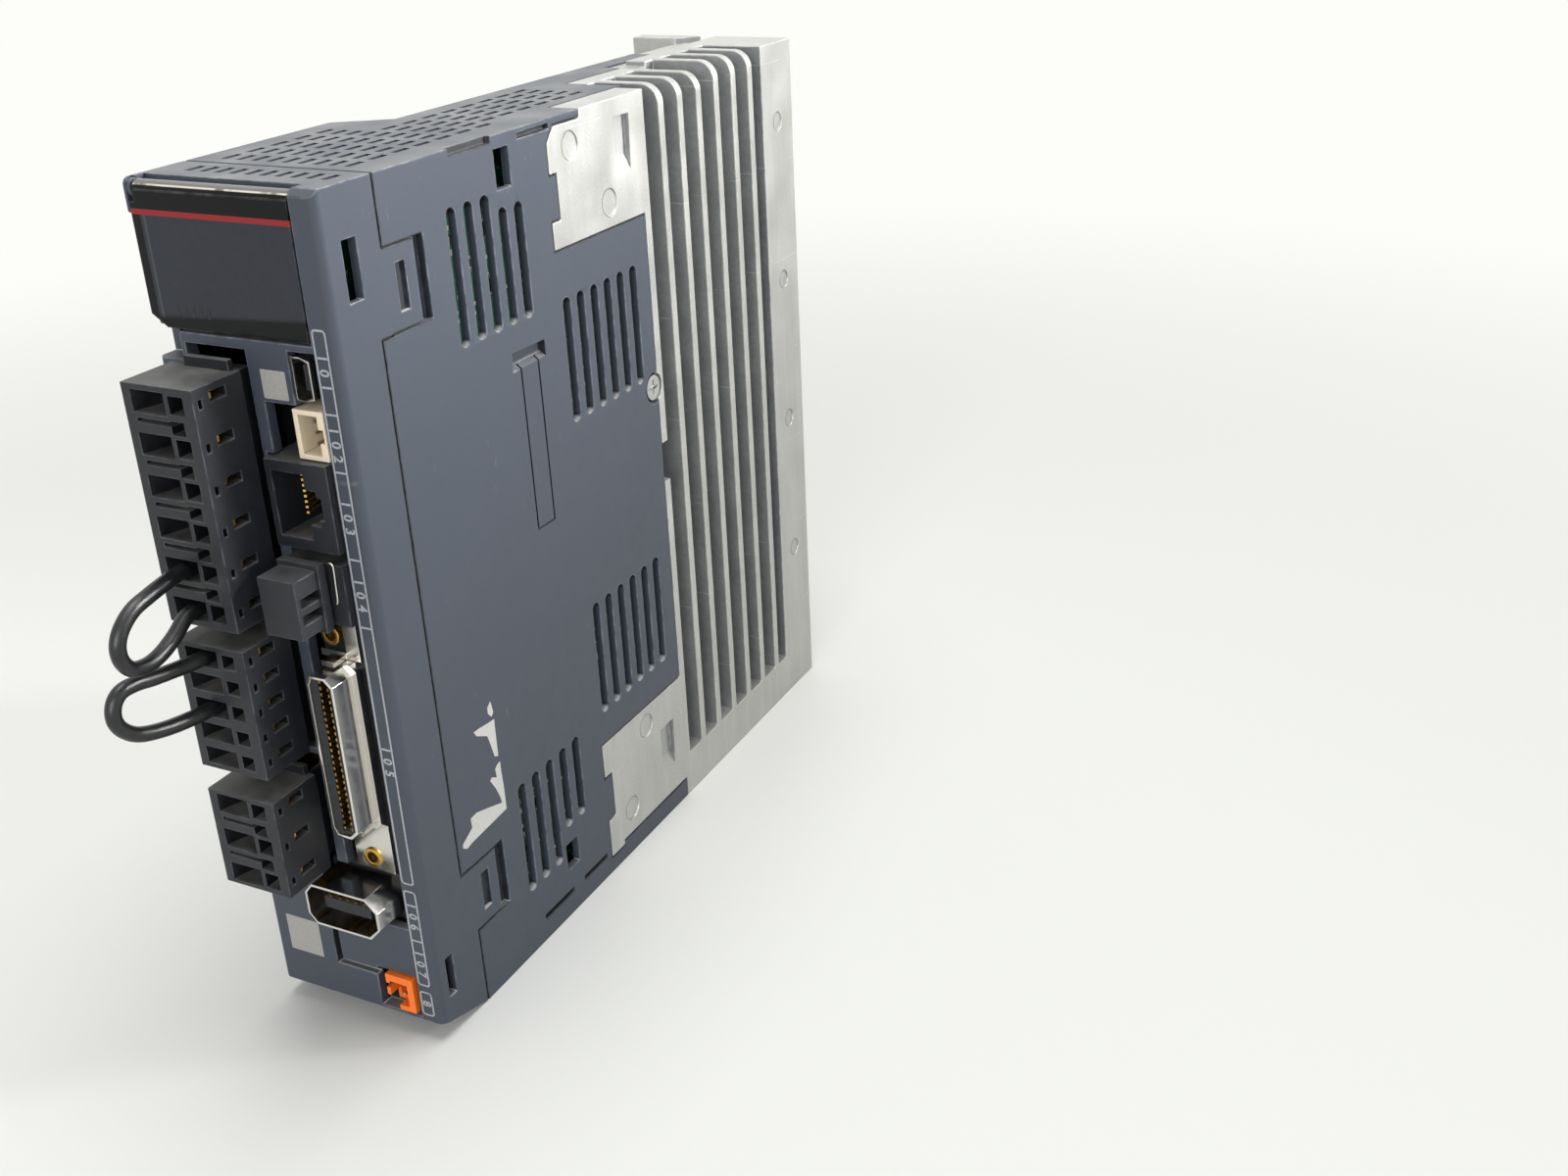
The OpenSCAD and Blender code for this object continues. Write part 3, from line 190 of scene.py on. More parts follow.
makeWorld(studio)
makeFloor(studio)
for values in lamps:
    makeLamp(values)
print("studio set")


# Shared effects, each a node group
def makeGroup(name, inputs, outputs):
    # empty group with named sockets, and its input and output nodes
    group = bpy.data.node_groups.new(name, "ShaderNodeTree")
    for socket, kind, value in inputs:
        made = group.interface.new_socket(socket, in_out="INPUT", socket_type=kind)
        if value is not None:
            made.default_value = value
    for socket, kind in outputs:
        group.interface.new_socket(socket, in_out="OUTPUT", socket_type=kind)
    return group, group.nodes.new("NodeGroupInput").outputs, group.nodes.new("NodeGroupOutput").inputs


def ranged(tree, value, low, high, fromLow=0.0, fromHigh=1.0):
    # value carried from one range to another, held at the ends
    node = addNode(tree, "ShaderNodeMapRange", {"Value": value, "From Min": fromLow, "From Max": fromHigh,
                                                "To Min": low, "To Max": high})
    return node.outputs[0]


def maths(tree, operation, *values):
    node = addNode(tree, "ShaderNodeMath", dict(enumerate(values)), operation=operation)
    return node.outputs[0]


def noise(tree, place, scale, detail=3.0, rough=0.55):
    node = addNode(tree, "ShaderNodeTexNoise", {"Vector": place, "Scale": scale, "Detail": detail,
                                                "Roughness": rough})
    return node.outputs["Fac"]


def blended(tree, share, first, second, how="MIX"):
    node = addNode(tree, "ShaderNodeMix", {0: share, 6: first, 7: second}, data_type="RGBA", blend_type=how)
    return node.outputs[2]


def makeGrainGroup():
    # moulded skin: slow drift of colour, uneven gloss and a fine spark-eroded grain
    group, given, result = makeGroup(
        "mouldGrain",
        [("Place", "NodeSocketVector", None), ("Tint", "NodeSocketColor", None),
         ("Grain", "NodeSocketFloat", 3200.0), ("Drift", "NodeSocketFloat", 0.14),
         ("Gloss Low", "NodeSocketFloat", 0.42), ("Gloss High", "NodeSocketFloat", 0.6)],
        [("Color", "NodeSocketColor"), ("Roughness", "NodeSocketFloat"), ("Height", "NodeSocketFloat")])
    slow = noise(group, given["Place"], 22.0, 4.0)
    middle = noise(group, given["Place"], 260.0, 3.0)
    fine = noise(group, given["Place"], given["Grain"], 2.0)
    drift = maths(group, "SUBTRACT", maths(group, "MULTIPLY_ADD", middle, 0.35, slow), 0.675)
    speck = maths(group, "MULTIPLY", maths(group, "SUBTRACT", fine, 0.5), 0.22)
    level = maths(group, "ADD", maths(group, "MULTIPLY_ADD", drift, given["Drift"], 1.0), speck)
    shade = addNode(group, "ShaderNodeHueSaturation", {"Value": level, "Color": given["Tint"]})
    gloss = ranged(group, middle, given["Gloss Low"], given["Gloss High"], 0.3, 0.7)
    group.links.new(shade.outputs[0], result["Color"])
    group.links.new(gloss, result["Roughness"])
    group.links.new(fine, result["Height"])
    return group


def makeWearGroup():
    # rubbed edges: the softened edge faces, broken up by noise
    group, given, result = makeGroup(
        "edgeWear", [("Place", "NodeSocketVector", None), ("Amount", "NodeSocketFloat", 0.6)],
        [("Mask", "NodeSocketFloat")])
    edge = addNode(group, "ShaderNodeAttribute", attribute_name="edgeFace").outputs["Fac"]
    broken = ranged(group, noise(group, given["Place"], 420.0, 4.0), 0.0, 1.0, 0.36, 0.66)
    rubbed = maths(group, "MULTIPLY", maths(group, "MULTIPLY", edge, broken), given["Amount"])
    group.links.new(rubbed, result["Mask"])
    return group


def makeGapShadeGroup():
    # painted shade held in narrow gaps, from the share of near faces around each face; faces that look up
    # stay clear of it and are given apart, as ledges with a painted highlight
    group, given, result = makeGroup(
        "gapShadeAndGlint", [("Place", "NodeSocketVector", None), ("Amount", "NodeSocketFloat", 0.8)],
        [("Mask", "NodeSocketFloat"), ("Ledge Glint", "NodeSocketFloat")])
    narrow = addNode(group, "ShaderNodeAttribute", attribute_name="narrowGap").outputs["Fac"]
    uneven = ranged(group, noise(group, given["Place"], 600.0, 3.0), 0.75, 1.0, 0.35, 0.65)
    upward = addNode(group, "ShaderNodeSeparateXYZ",
                     {0: addNode(group, "ShaderNodeNewGeometry").outputs["Normal"]}).outputs["Z"]
    seam = ranged(group, narrow, 0.0, 1.0, 1.4, 1.9)
    level = maths(group, "MAXIMUM", ranged(group, upward, 1.0, 0.15, 0.2, 0.6), seam)
    closed = ranged(group, narrow, 0.0, 1.0, 0.12, 0.4)
    deep = maths(group, "MULTIPLY", closed, level)
    group.links.new(maths(group, "MULTIPLY", closed, maths(group, "SUBTRACT", 1.0, level)), result["Ledge Glint"])
    shadeStrength = maths(group, "MULTIPLY", maths(group, "MULTIPLY", deep, uneven), given["Amount"])
    group.links.new(shadeStrength, result["Mask"])
    return group


def makeDustTopLightGroup():
    # settled dust on upward faces, which also paints the tops lighter as painted top light, and short pale
    # scuffs
    group, given, result = makeGroup(
        "dustAndTopLight", [("Place", "NodeSocketVector", None), ("Dust Top Light", "NodeSocketFloat", 0.25),
                     ("Scuffs", "NodeSocketFloat", 0.3)],
        [("Mask", "NodeSocketFloat")])
    upward = addNode(group, "ShaderNodeSeparateXYZ",
                     {0: addNode(group, "ShaderNodeNewGeometry").outputs["Normal"]}).outputs["Z"]
    settledTopLight = maths(group, "MULTIPLY", ranged(group, upward, 0.0, 1.0, 0.55, 1.0),
                    ranged(group, noise(group, given["Place"], 130.0, 5.0), 0.25, 1.0, 0.35, 0.7))
    slanted = addNode(group, "ShaderNodeMapping", {"Vector": given["Place"], "Rotation": (0.5, 0.3, 0.8),
                                                   "Scale": (40.0, 900.0, 260.0)}).outputs[0]
    scuff = ranged(group, noise(group, slanted, 1.0, 2.0), 0.0, 1.0, 0.72, 0.82)
    both = maths(group, "MAXIMUM", maths(group, "MULTIPLY", settledTopLight, given["Dust Top Light"]),
                 maths(group, "MULTIPLY", scuff, given["Scuffs"]))
    group.links.new(both, result["Mask"])
    return group


def makeCastGroup():
    # die-cast skin: flow marks up the part, dull mottling and fine pits
    group, given, result = makeGroup(
        "castSkin", [("Place", "NodeSocketVector", None), ("Tint", "NodeSocketColor", None)],
        [("Color", "NodeSocketColor"), ("Roughness", "NodeSocketFloat"), ("Height", "NodeSocketFloat")])
    stretched = addNode(group, "ShaderNodeMapping", {"Vector": given["Place"],
                                                    "Scale": (240.0, 240.0, 26.0)}).outputs[0]
    flow = noise(group, stretched, 1.0, 4.0, 0.6)
    mottle = noise(group, given["Place"], 90.0, 5.0, 0.6)
    pits = noise(group, given["Place"], 1900.0, 3.0)
    speckled = maths(group, "MULTIPLY_ADD", pits, 0.3, 0.52)
    streaked = maths(group, "MULTIPLY_ADD", flow, 0.34, speckled)
    level = maths(group, "MULTIPLY_ADD", mottle, 0.34, streaked)
    shade = addNode(group, "ShaderNodeHueSaturation", {"Value": level, "Color": given["Tint"]})
    group.links.new(shade.outputs[0], result["Color"])
    group.links.new(ranged(group, mottle, 0.34, 0.52, 0.3, 0.7), result["Roughness"])
    group.links.new(maths(group, "MULTIPLY_ADD", flow, 0.6, pits), result["Height"])
    return group


grainGroup = makeGrainGroup()
wearGroup = makeWearGroup()
gapShadeGroup = makeGapShadeGroup()
dustTopLightGroup = makeDustTopLightGroup()
castGroup = makeCastGroup()


def useGroup(tree, group, inputs):
    return addNode(tree, "ShaderNodeGroup", inputs, node_tree=group).outputs


def startMaterial(name):
    # material with only its output, its tree and its own coordinates
    material = bpy.data.materials.new(name)
    material.use_nodes = True
    tree = material.node_tree
    tree.nodes.clear()
    place = addNode(tree, "ShaderNodeTexCoord").outputs["Object"]
    return material, tree, place


def endMaterial(tree, shader):
    addNode(tree, "ShaderNodeOutputMaterial", {"Surface": shader.outputs[0]})


# Moulded plastics: tint, pale tone of worn edges, gloss and grain of each, and the painted highlight in
# slot ends
plastics = {
    "case_plastic": {"tint": tone(63, 69, 80), "worn": tone(146, 150, 158), "gloss": (0.46, 0.54),
                     "shine": 0.4, "grain": 3000.0, "bump": 0.05, "drift": 0.2, "wear": 0.4, "dustTopLight": 0.28,
                     "scuffs": 0.12, "glintAmount": 1.0},
    "black_plastic": {"tint": tone(34, 36, 41), "worn": tone(104, 108, 114), "gloss": (0.36, 0.54),
                      "shine": 0.34, "grain": 3600.0, "bump": 0.05, "drift": 0.3, "wear": 0.4, "dustTopLight": 0.26,
                      "scuffs": 0.06},
    "grey_plastic": {"tint": tone(44, 46, 50), "worn": tone(112, 116, 120), "gloss": (0.45, 0.6),
                     "shine": 0.3, "grain": 3600.0, "bump": 0.05, "drift": 0.2, "wear": 0.35, "dustTopLight": 0.1,
                     "scuffs": 0.06},
    "cream_plastic": {"tint": tone(232, 216, 190), "worn": tone(246, 238, 222), "gloss": (0.3, 0.45),
                      "shine": 0.5, "grain": 2600.0, "bump": 0.03, "drift": 0.12, "wear": 0.3, "dustTopLight": 0.05,
                      "scuffs": 0.03},
    "orange_plastic": {"tint": tone(250, 118, 32), "worn": tone(255, 170, 96), "gloss": (0.3, 0.45),
                       "shine": 0.5, "grain": 2600.0, "bump": 0.03, "drift": 0.14, "wear": 0.3,
                       "dustTopLight": 0.05, "scuffs": 0.03},
    "key_plastic": {"tint": tone(196, 197, 198), "worn": tone(228, 228, 226), "gloss": (0.32, 0.48),
                    "shine": 0.5, "grain": 2800.0, "bump": 0.04, "drift": 0.14, "wear": 0.3, "dustTopLight": 0.05,
                    "scuffs": 0.04},
    "relay_plastic": {"tint": tone(214, 168, 74), "worn": tone(236, 206, 140), "gloss": (0.35, 0.5),
                      "shine": 0.5, "grain": 2800.0, "bump": 0.04, "drift": 0.14, "wear": 0.3, "dustTopLight": 0.1,
                      "scuffs": 0.05},
    "sleeve_dark": {"tint": tone(46, 50, 84), "worn": tone(120, 124, 150), "gloss": (0.24, 0.36),
                    "shine": 0.5, "grain": 2000.0, "bump": 0.02, "drift": 0.16, "wear": 0.3, "dustTopLight": 0.1,
                    "scuffs": 0.05},
}
# What lies on every plastic: settled dust that also paints the tops lighter, painted highlight on ledges
# in gaps, painted shade in gaps and its amount
filmLook = {"dustTopLight": tone(186, 184, 176), "ledgeGlint": tone(196, 197, 199), "shadeTone": tone(9, 9, 10),
            "shadeStrength": 0.85}


def makePlastic(name, values):
    material, tree, place = startMaterial(name)
    skin = useGroup(tree, grainGroup, {"Place": place, "Tint": values["tint"], "Grain": values["grain"],
                                       "Drift": values["drift"], "Gloss Low": values["gloss"][0],
                                       "Gloss High": values["gloss"][1]})
    worn = useGroup(tree, wearGroup, {"Place": place, "Amount": values["wear"]})["Mask"]
    dustTopLightMask = useGroup(tree, dustTopLightGroup, {"Place": place, "Dust Top Light": values["dustTopLight"],
                                       "Scuffs": values["scuffs"]})["Mask"]
    gap = useGroup(tree, gapShadeGroup, {"Place": place, "Amount": filmLook["shadeStrength"]})
    rubbed = blended(tree, worn, skin["Color"], values["worn"])
    # dust and painted top light: pale tone on upward faces
    dustTopLit = blended(tree, dustTopLightMask, rubbed, filmLook["dustTopLight"])
    # painted highlight: pale tone on upward faces inside gaps
    ledgeGlint = maths(tree, "MULTIPLY", gap["Ledge Glint"], values.get("glintAmount", 0.0))
    lit = blended(tree, ledgeGlint, dustTopLit, filmLook["ledgeGlint"])
    # painted shade: near-black tone where the share of near faces is high
    color = blended(tree, gap["Mask"], lit, filmLook["shadeTone"])
    roughness = maths(tree, "MULTIPLY_ADD", dustTopLightMask, 0.3, skin["Roughness"])
    bump = addNode(tree, "ShaderNodeBump", {"Height": skin["Height"], "Strength": values["bump"],
                                            "Distance": 0.0004})
    shader = addNode(tree, "ShaderNodeBsdfPrincipled", {"Base Color": color, "Roughness": roughness,
                                                        "Normal": bump.outputs[0],
                                                        "Specular IOR Level": values["shine"]})
    endMaterial(tree, shader)
    return material


# Bare metals: tint, brightness of rubbed edges, gloss
metals = {
    "shell_metal": {"tint": tone(214, 211, 205), "worn": tone(246, 244, 240), "gloss": (0.14, 0.24),
                    "wear": 0.7},
    "contact_metal": {"tint": tone(218, 176, 92), "worn": tone(240, 214, 150), "gloss": (0.2, 0.36),
                      "wear": 0.4},
    "pin_metal": {"tint": tone(206, 198, 172), "worn": tone(232, 226, 208), "gloss": (0.22, 0.38),
                  "wear": 0.4},
    "screw_steel": {"tint": tone(190, 190, 188), "worn": tone(228, 228, 226), "gloss": (0.24, 0.42),
                    "wear": 0.6},
}


def makeMetal(name, values):
    material, tree, place = startMaterial(name)
    skin = useGroup(tree, grainGroup, {"Place": place, "Tint": values["tint"], "Grain": 4200.0,
                                       "Drift": 0.08, "Gloss Low": values["gloss"][0],
                                       "Gloss High": values["gloss"][1]})
    worn = useGroup(tree, wearGroup, {"Place": place, "Amount": values["wear"]})["Mask"]
    color = blended(tree, worn, skin["Color"], values["worn"])
    bump = addNode(tree, "ShaderNodeBump", {"Height": skin["Height"], "Strength": 0.015,
                                            "Distance": 0.0003})
    shader = addNode(tree, "ShaderNodeBsdfPrincipled", {"Base Color": color, "Roughness": skin["Roughness"],
                                                        "Metallic": 1.0, "Normal": bump.outputs[0]})
    endMaterial(tree, shader)
    return material


# Die-cast aluminium: tint, rubbed edges, painted shade tone in the gaps, and the thin level lines
castLook = {"tint": tone(180, 180, 177), "worn": tone(206, 207, 203), "wear": 0.6, "bump": 0.14,
            "metal": 0.6, "castShadeTone": tone(122, 126, 132), "shadeStrength": 0.75, "lineStep": 11.7 * mm,
            "lineHalf": 0.08 * mm}


def makeCastAluminium(values):
    material, tree, place = startMaterial("cast_aluminium")
    skin = useGroup(tree, castGroup, {"Place": place, "Tint": values["tint"]})
    worn = useGroup(tree, wearGroup, {"Place": place, "Amount": values["wear"]})["Mask"]
    scuffDustLight = useGroup(tree, dustTopLightGroup, {"Place": place, "Dust Top Light": 0.1, "Scuffs": 0.35})["Mask"]
    # thin level lines left by the die, only here and there
    height = addNode(tree, "ShaderNodeSeparateXYZ", {0: place}).outputs["Z"]
    fromLine = maths(tree, "PINGPONG", height, values["lineStep"])
    level = maths(tree, "LESS_THAN", fromLine, values["lineHalf"])
    lined = maths(tree, "MULTIPLY", level, ranged(tree, noise(tree, place, 75.0, 2.0), 0.0, 0.8, 0.5, 0.56))
    bright = maths(tree, "MAXIMUM", maths(tree, "MAXIMUM", worn, scuffDustLight), lined)
    # painted shade: darker tone in the fin valleys and other narrow gaps
    shadeMask = useGroup(tree, gapShadeGroup, {"Place": place, "Amount": values["shadeStrength"]})["Mask"]
    shaded = blended(tree, shadeMask, skin["Color"], values["castShadeTone"])
    color = blended(tree, bright, shaded, values["worn"])
    bump = addNode(tree, "ShaderNodeBump", {"Height": skin["Height"], "Strength": values["bump"],
                                            "Distance": 0.0004})
    shader = addNode(tree, "ShaderNodeBsdfPrincipled", {"Base Color": color, "Roughness": skin["Roughness"],
                                                        "Metallic": values["metal"],
                                                        "Normal": bump.outputs[0]})
    endMaterial(tree, shader)
    return material


# Smoked flap: printed bands by height, a darker left border, a painted sheen on the top and a painted
# highlight along its front edge, in metres
flapLook = {"smoke": tone(51, 54, 61), "band": tone(8, 9, 12), "line": tone(142, 40, 43),
            "sheen": tone(112, 111, 112), "rimGlint": tone(226, 220, 204), "streak": tone(92, 102, 110),
            "streakX": -16.6 * mm, "streakHalf": 0.4 * mm, "lineLow": 160.8 * mm, "lineHigh": 161.75 * mm,
            "bandLow": (144.2 * mm, 145.0 * mm), "bandSlope": 0.055, "border": -17.5 * mm,
            "rimLow": 165.6 * mm, "sheenLow": 165.85 * mm, "alpha": 0.93}


def makeSmokedFlap(values):
    material, tree, place = startMaterial("smoked_flap")
    parts = addNode(tree, "ShaderNodeSeparateXYZ", {0: place}).outputs
    height = parts["Z"]
    aboveLine = maths(tree, "GREATER_THAN", height, values["lineLow"])
    overLine = maths(tree, "GREATER_THAN", height, values["lineHigh"])
    sloped = maths(tree, "SUBTRACT", height, maths(tree, "MULTIPLY", parts["X"], values["bandSlope"]))
    bottom = ranged(tree, sloped, 1.0, 0.0, *values["bandLow"])
    lowBand = maths(tree, "MAXIMUM", bottom, maths(tree, "LESS_THAN", parts["X"], values["border"]))
    printed = maths(tree, "MAXIMUM", aboveLine, lowBand)
    skin = useGroup(tree, grainGroup, {"Place": place, "Tint": values["smoke"], "Grain": 900.0,
                                       "Drift": 0.3, "Gloss Low": 0.05, "Gloss High": 0.12})
    worn = useGroup(tree, wearGroup, {"Place": place, "Amount": 0.15})["Mask"]
    dustTopLightMask = useGroup(tree, dustTopLightGroup, {"Place": place, "Dust Top Light": 0.12, "Scuffs": 0.08})["Mask"]
    withBands = blended(tree, maths(tree, "MAXIMUM", overLine, lowBand), skin["Color"], values["band"])
    onLine = maths(tree, "SUBTRACT", aboveLine, overLine)
    withLine = blended(tree, onLine, withBands, values["line"])
    fromStreak = maths(tree, "ABSOLUTE", maths(tree, "SUBTRACT", parts["X"], values["streakX"]))
    streak = maths(tree, "MULTIPLY", ranged(tree, fromStreak, 0.5, 0.0, 0.0, values["streakHalf"]),
                   maths(tree, "SUBTRACT", 1.0, printed))
    streaked = blended(tree, streak, withLine, values["streak"])
    # painted reflection on the top of the hinge, and a broken painted highlight along its front edge
    onTop = ranged(tree, height, 0.0, 1.0, values["sheenLow"], values["sheenLow"] + 0.1 * mm)
    broken = ranged(tree, noise(tree, place, 240.0, 2.0), 0.25, 0.9, 0.4, 0.5)
    atRim = ranged(tree, height, 0.0, 1.0, values["rimLow"], values["rimLow"] + 0.1 * mm)
    onRim = maths(tree, "MULTIPLY", atRim, broken)
    rimmed = blended(tree, onRim, streaked, values["rimGlint"])
    topped = blended(tree, onTop, rimmed, values["sheen"])
    color = blended(tree, maths(tree, "MAXIMUM", worn, dustTopLightMask), topped, tone(150, 150, 148))
    alpha = ranged(tree, printed, values["alpha"], 1.0)
    roughness = maths(tree, "MULTIPLY_ADD", dustTopLightMask, 0.4, skin["Roughness"])
    shader = addNode(tree, "ShaderNodeBsdfPrincipled", {"Base Color": color, "Roughness": roughness,
                                                        "Alpha": alpha, "Specular IOR Level": 0.18})
    endMaterial(tree, shader)
    return material


boardLook = {"mask": tone(15, 58, 40), "trace": tone(24, 80, 54), "pad": tone(196, 190, 160)}


def makeBoardGreen(values):
    # lacquered board: traces as bands of a stretched pattern, bright soldered pads in cells
    material, tree, place = startMaterial("board_green")
    cells = addNode(tree, "ShaderNodeTexVoronoi", {"Vector": place, "Scale": 520.0}, distance="CHEBYCHEV")
    pads = ranged(tree, cells.outputs["Distance"], 1.0, 0.0, 0.16, 0.2)
    runs = addNode(tree, "ShaderNodeTexBrick", {"Vector": place, "Scale": 300.0, "Mortar Size": 0.03})
    skin = useGroup(tree, grainGroup, {"Place": place, "Tint": values["mask"], "Grain": 2400.0,
                                       "Drift": 0.3, "Gloss Low": 0.25, "Gloss High": 0.4})
    faint = maths(tree, "MULTIPLY", runs.outputs["Fac"], 0.7)
    traced = blended(tree, faint, skin["Color"], values["trace"])
    color = blended(tree, pads, traced, values["pad"])
    bump = addNode(tree, "ShaderNodeBump", {"Height": pads, "Strength": 0.4, "Distance": 0.0002})
    shader = addNode(tree, "ShaderNodeBsdfPrincipled", {"Base Color": color, "Roughness": skin["Roughness"],
                                                        "Metallic": maths(tree, "MULTIPLY", pads, 0.8),
                                                        "Normal": bump.outputs[0]})
    endMaterial(tree, shader)
    return material


sheathLook = {"tint": tone(19, 20, 22), "pale": tone(70, 72, 76)}


def makeWireSheath(values):
    # soft sheath: drawn lines along the wire from its own lengthwise map, and handling marks
    material, tree, place = startMaterial("wire_sheath")
    along = addNode(tree, "ShaderNodeUVMap", uv_map="lengthwise").outputs[0]
    drawn = addNode(tree, "ShaderNodeMapping", {"Vector": along, "Scale": (3.0, 90.0, 1.0)}).outputs[0]
    lines = noise(tree, drawn, 1.0, 2.0)
    skin = useGroup(tree, grainGroup, {"Place": place, "Tint": values["tint"], "Grain": 2600.0,
                                       "Drift": 0.3, "Gloss Low": 0.26, "Gloss High": 0.4})
    marks = ranged(tree, noise(tree, place, 700.0, 4.0), 0.0, 0.25, 0.6, 0.76)
    color = blended(tree, marks, skin["Color"], values["pale"])
    bump = addNode(tree, "ShaderNodeBump", {"Height": lines, "Strength": 0.12, "Distance": 0.0003})
    shader = addNode(tree, "ShaderNodeBsdfPrincipled", {"Base Color": color, "Roughness": skin["Roughness"],
                                                        "Normal": bump.outputs[0]})
    endMaterial(tree, shader)
    return material


def makeThermalFilm():
    # pale silicone film with a woven carrier showing through
    material, tree, place = startMaterial("thermal_film")
    weave = addNode(tree, "ShaderNodeTexBrick", {"Vector": place, "Scale": 900.0, "Mortar Size": 0.04})
    skin = useGroup(tree, grainGroup, {"Place": place, "Tint": tone(206, 208, 216), "Grain": 1800.0,
                                       "Drift": 0.12, "Gloss Low": 0.5, "Gloss High": 0.7})
    carrier = maths(tree, "MULTIPLY", weave.outputs["Fac"], 0.3)
    color = blended(tree, carrier, skin["Color"], tone(160, 164, 176))
    shader = addNode(tree, "ShaderNodeBsdfPrincipled",
                     {"Base Color": color, "Roughness": skin["Roughness"]})
    endMaterial(tree, shader)
    return material


# Inks and paper: tint, and how far the plastic shows through where they are thin
inks = {"pale_ink": (tone(166, 168, 171), 0.35), "bare_label": (tone(160, 158, 154), 0.12),
        "paper_scrap": (tone(194, 193, 189), 0.14), "dim_segment": (tone(124, 122, 118), 0.06)}


def makeInk(name, tint, showing):
    # screen-printed ink, thin in places so that the plastic shows through
    material, tree, place = startMaterial(name)
    skin = useGroup(tree, grainGroup, {"Place": place, "Tint": tint, "Grain": 3200.0, "Drift": 0.2,
                                       "Gloss Low": 0.45, "Gloss High": 0.62})
    thin = ranged(tree, noise(tree, place, 1500.0, 4.0), 0.0, showing, 0.5, 0.72)
    color = blended(tree, thin, skin["Color"], plastics["case_plastic"]["tint"])
    bump = addNode(tree, "ShaderNodeBump", {"Height": skin["Height"], "Strength": 0.04, "Distance": 0.0003})
    shader = addNode(tree, "ShaderNodeBsdfPrincipled", {"Base Color": color, "Roughness": skin["Roughness"],
                                                        "Normal": bump.outputs[0]})
    endMaterial(tree, shader)
    return material


materials = {name: makePlastic(name, values) for name, values in plastics.items()}
materials.update({name: makeMetal(name, values) for name, values in metals.items()})
materials["cast_aluminium"] = makeCastAluminium(castLook)
materials["smoked_flap"] = makeSmokedFlap(flapLook)
materials["board_green"] = makeBoardGreen(boardLook)
materials["wire_sheath"] = makeWireSheath(sheathLook)
materials["thermal_film"] = makeThermalFilm()
materials.update({name: makeInk(name, *values) for name, values in inks.items()})
print("materials made:", len(materials))


# Pieces
def addPiece(name, mesh, body, material):
    piece = bpy.data.objects.new(name, mesh)
    scene.collection.objects.link(piece)
    mesh.materials.clear()
    mesh.materials.append(materials[material])
    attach(piece, body)
    return piece


# Jumper wires, laid as their CAD solids are: x, y, z in millimetres
jumpers = {
    "line_jumper": {"body": "line_connector", "diameter": 2.8, "route": [
        [-9, -9, 103.6], [-9, -15, 103.5], [-8.6, -19, 103.3], [-8, -23, 103], [-7.8, -27, 102.2],
        [-7.7, -30, 100.3], [-7.7, -31.6, 97.8], [-7.8, -31.5, 94.9], [-8, -29.6, 92.4],
        [-8.2, -26.3, 91.5], [-8.4, -22.9, 91.9], [-8.7, -19.2, 93.3], [-9, -15.5, 95.4],
        [-9, -12.5, 96], [-9, -9, 96.1]]},
    "link_jumper": {"body": "link_connector", "diameter": 2.8, "route": [
        [-9, -9, 86.6], [-9, -14, 86.6], [-9.8, -18, 86.7], [-10.6, -23.4, 87.2], [-11.2, -27, 87.7],
        [-11.5, -30, 87.6], [-11.6, -31.9, 86.1], [-11.6, -32.5, 83.6], [-11.5, -31.5, 81.1],
        [-11.2, -28.8, 78.8], [-10.7, -24.4, 77.4], [-10, -19.3, 76.7], [-9.2, -14.6, 76.6],
        [-9, -9, 76.6]]},
}


def smoothRoute(route, steps):
    # Catmull-Rom curve: each span is a cubic through two points with the slopes of their neighbours
    ends = np.concatenate([[2 * route[0] - route[1]], route, [2 * route[-1] - route[-2]]])
    before, first, second, after = ends[:-3], ends[1:-2], ends[2:-1], ends[3:]
    t = np.linspace(0, 1, steps, endpoint=False)[None, :, None]
    spans = [p[:, None, :] for p in (before, first, second, after)]
    curve = 0.5 * (2 * spans[1] + (spans[2] - spans[0]) * t
                   + (2 * spans[0] - 5 * spans[1] + 4 * spans[2] - spans[3]) * t ** 2
                   + (3 * spans[1] - spans[0] - 3 * spans[2] + spans[3]) * t ** 3)
    return np.concatenate([curve.reshape(-1, 3), route[-1:]])


def unitRows(rows):
    return rows / np.linalg.norm(rows, axis=1, keepdims=True)


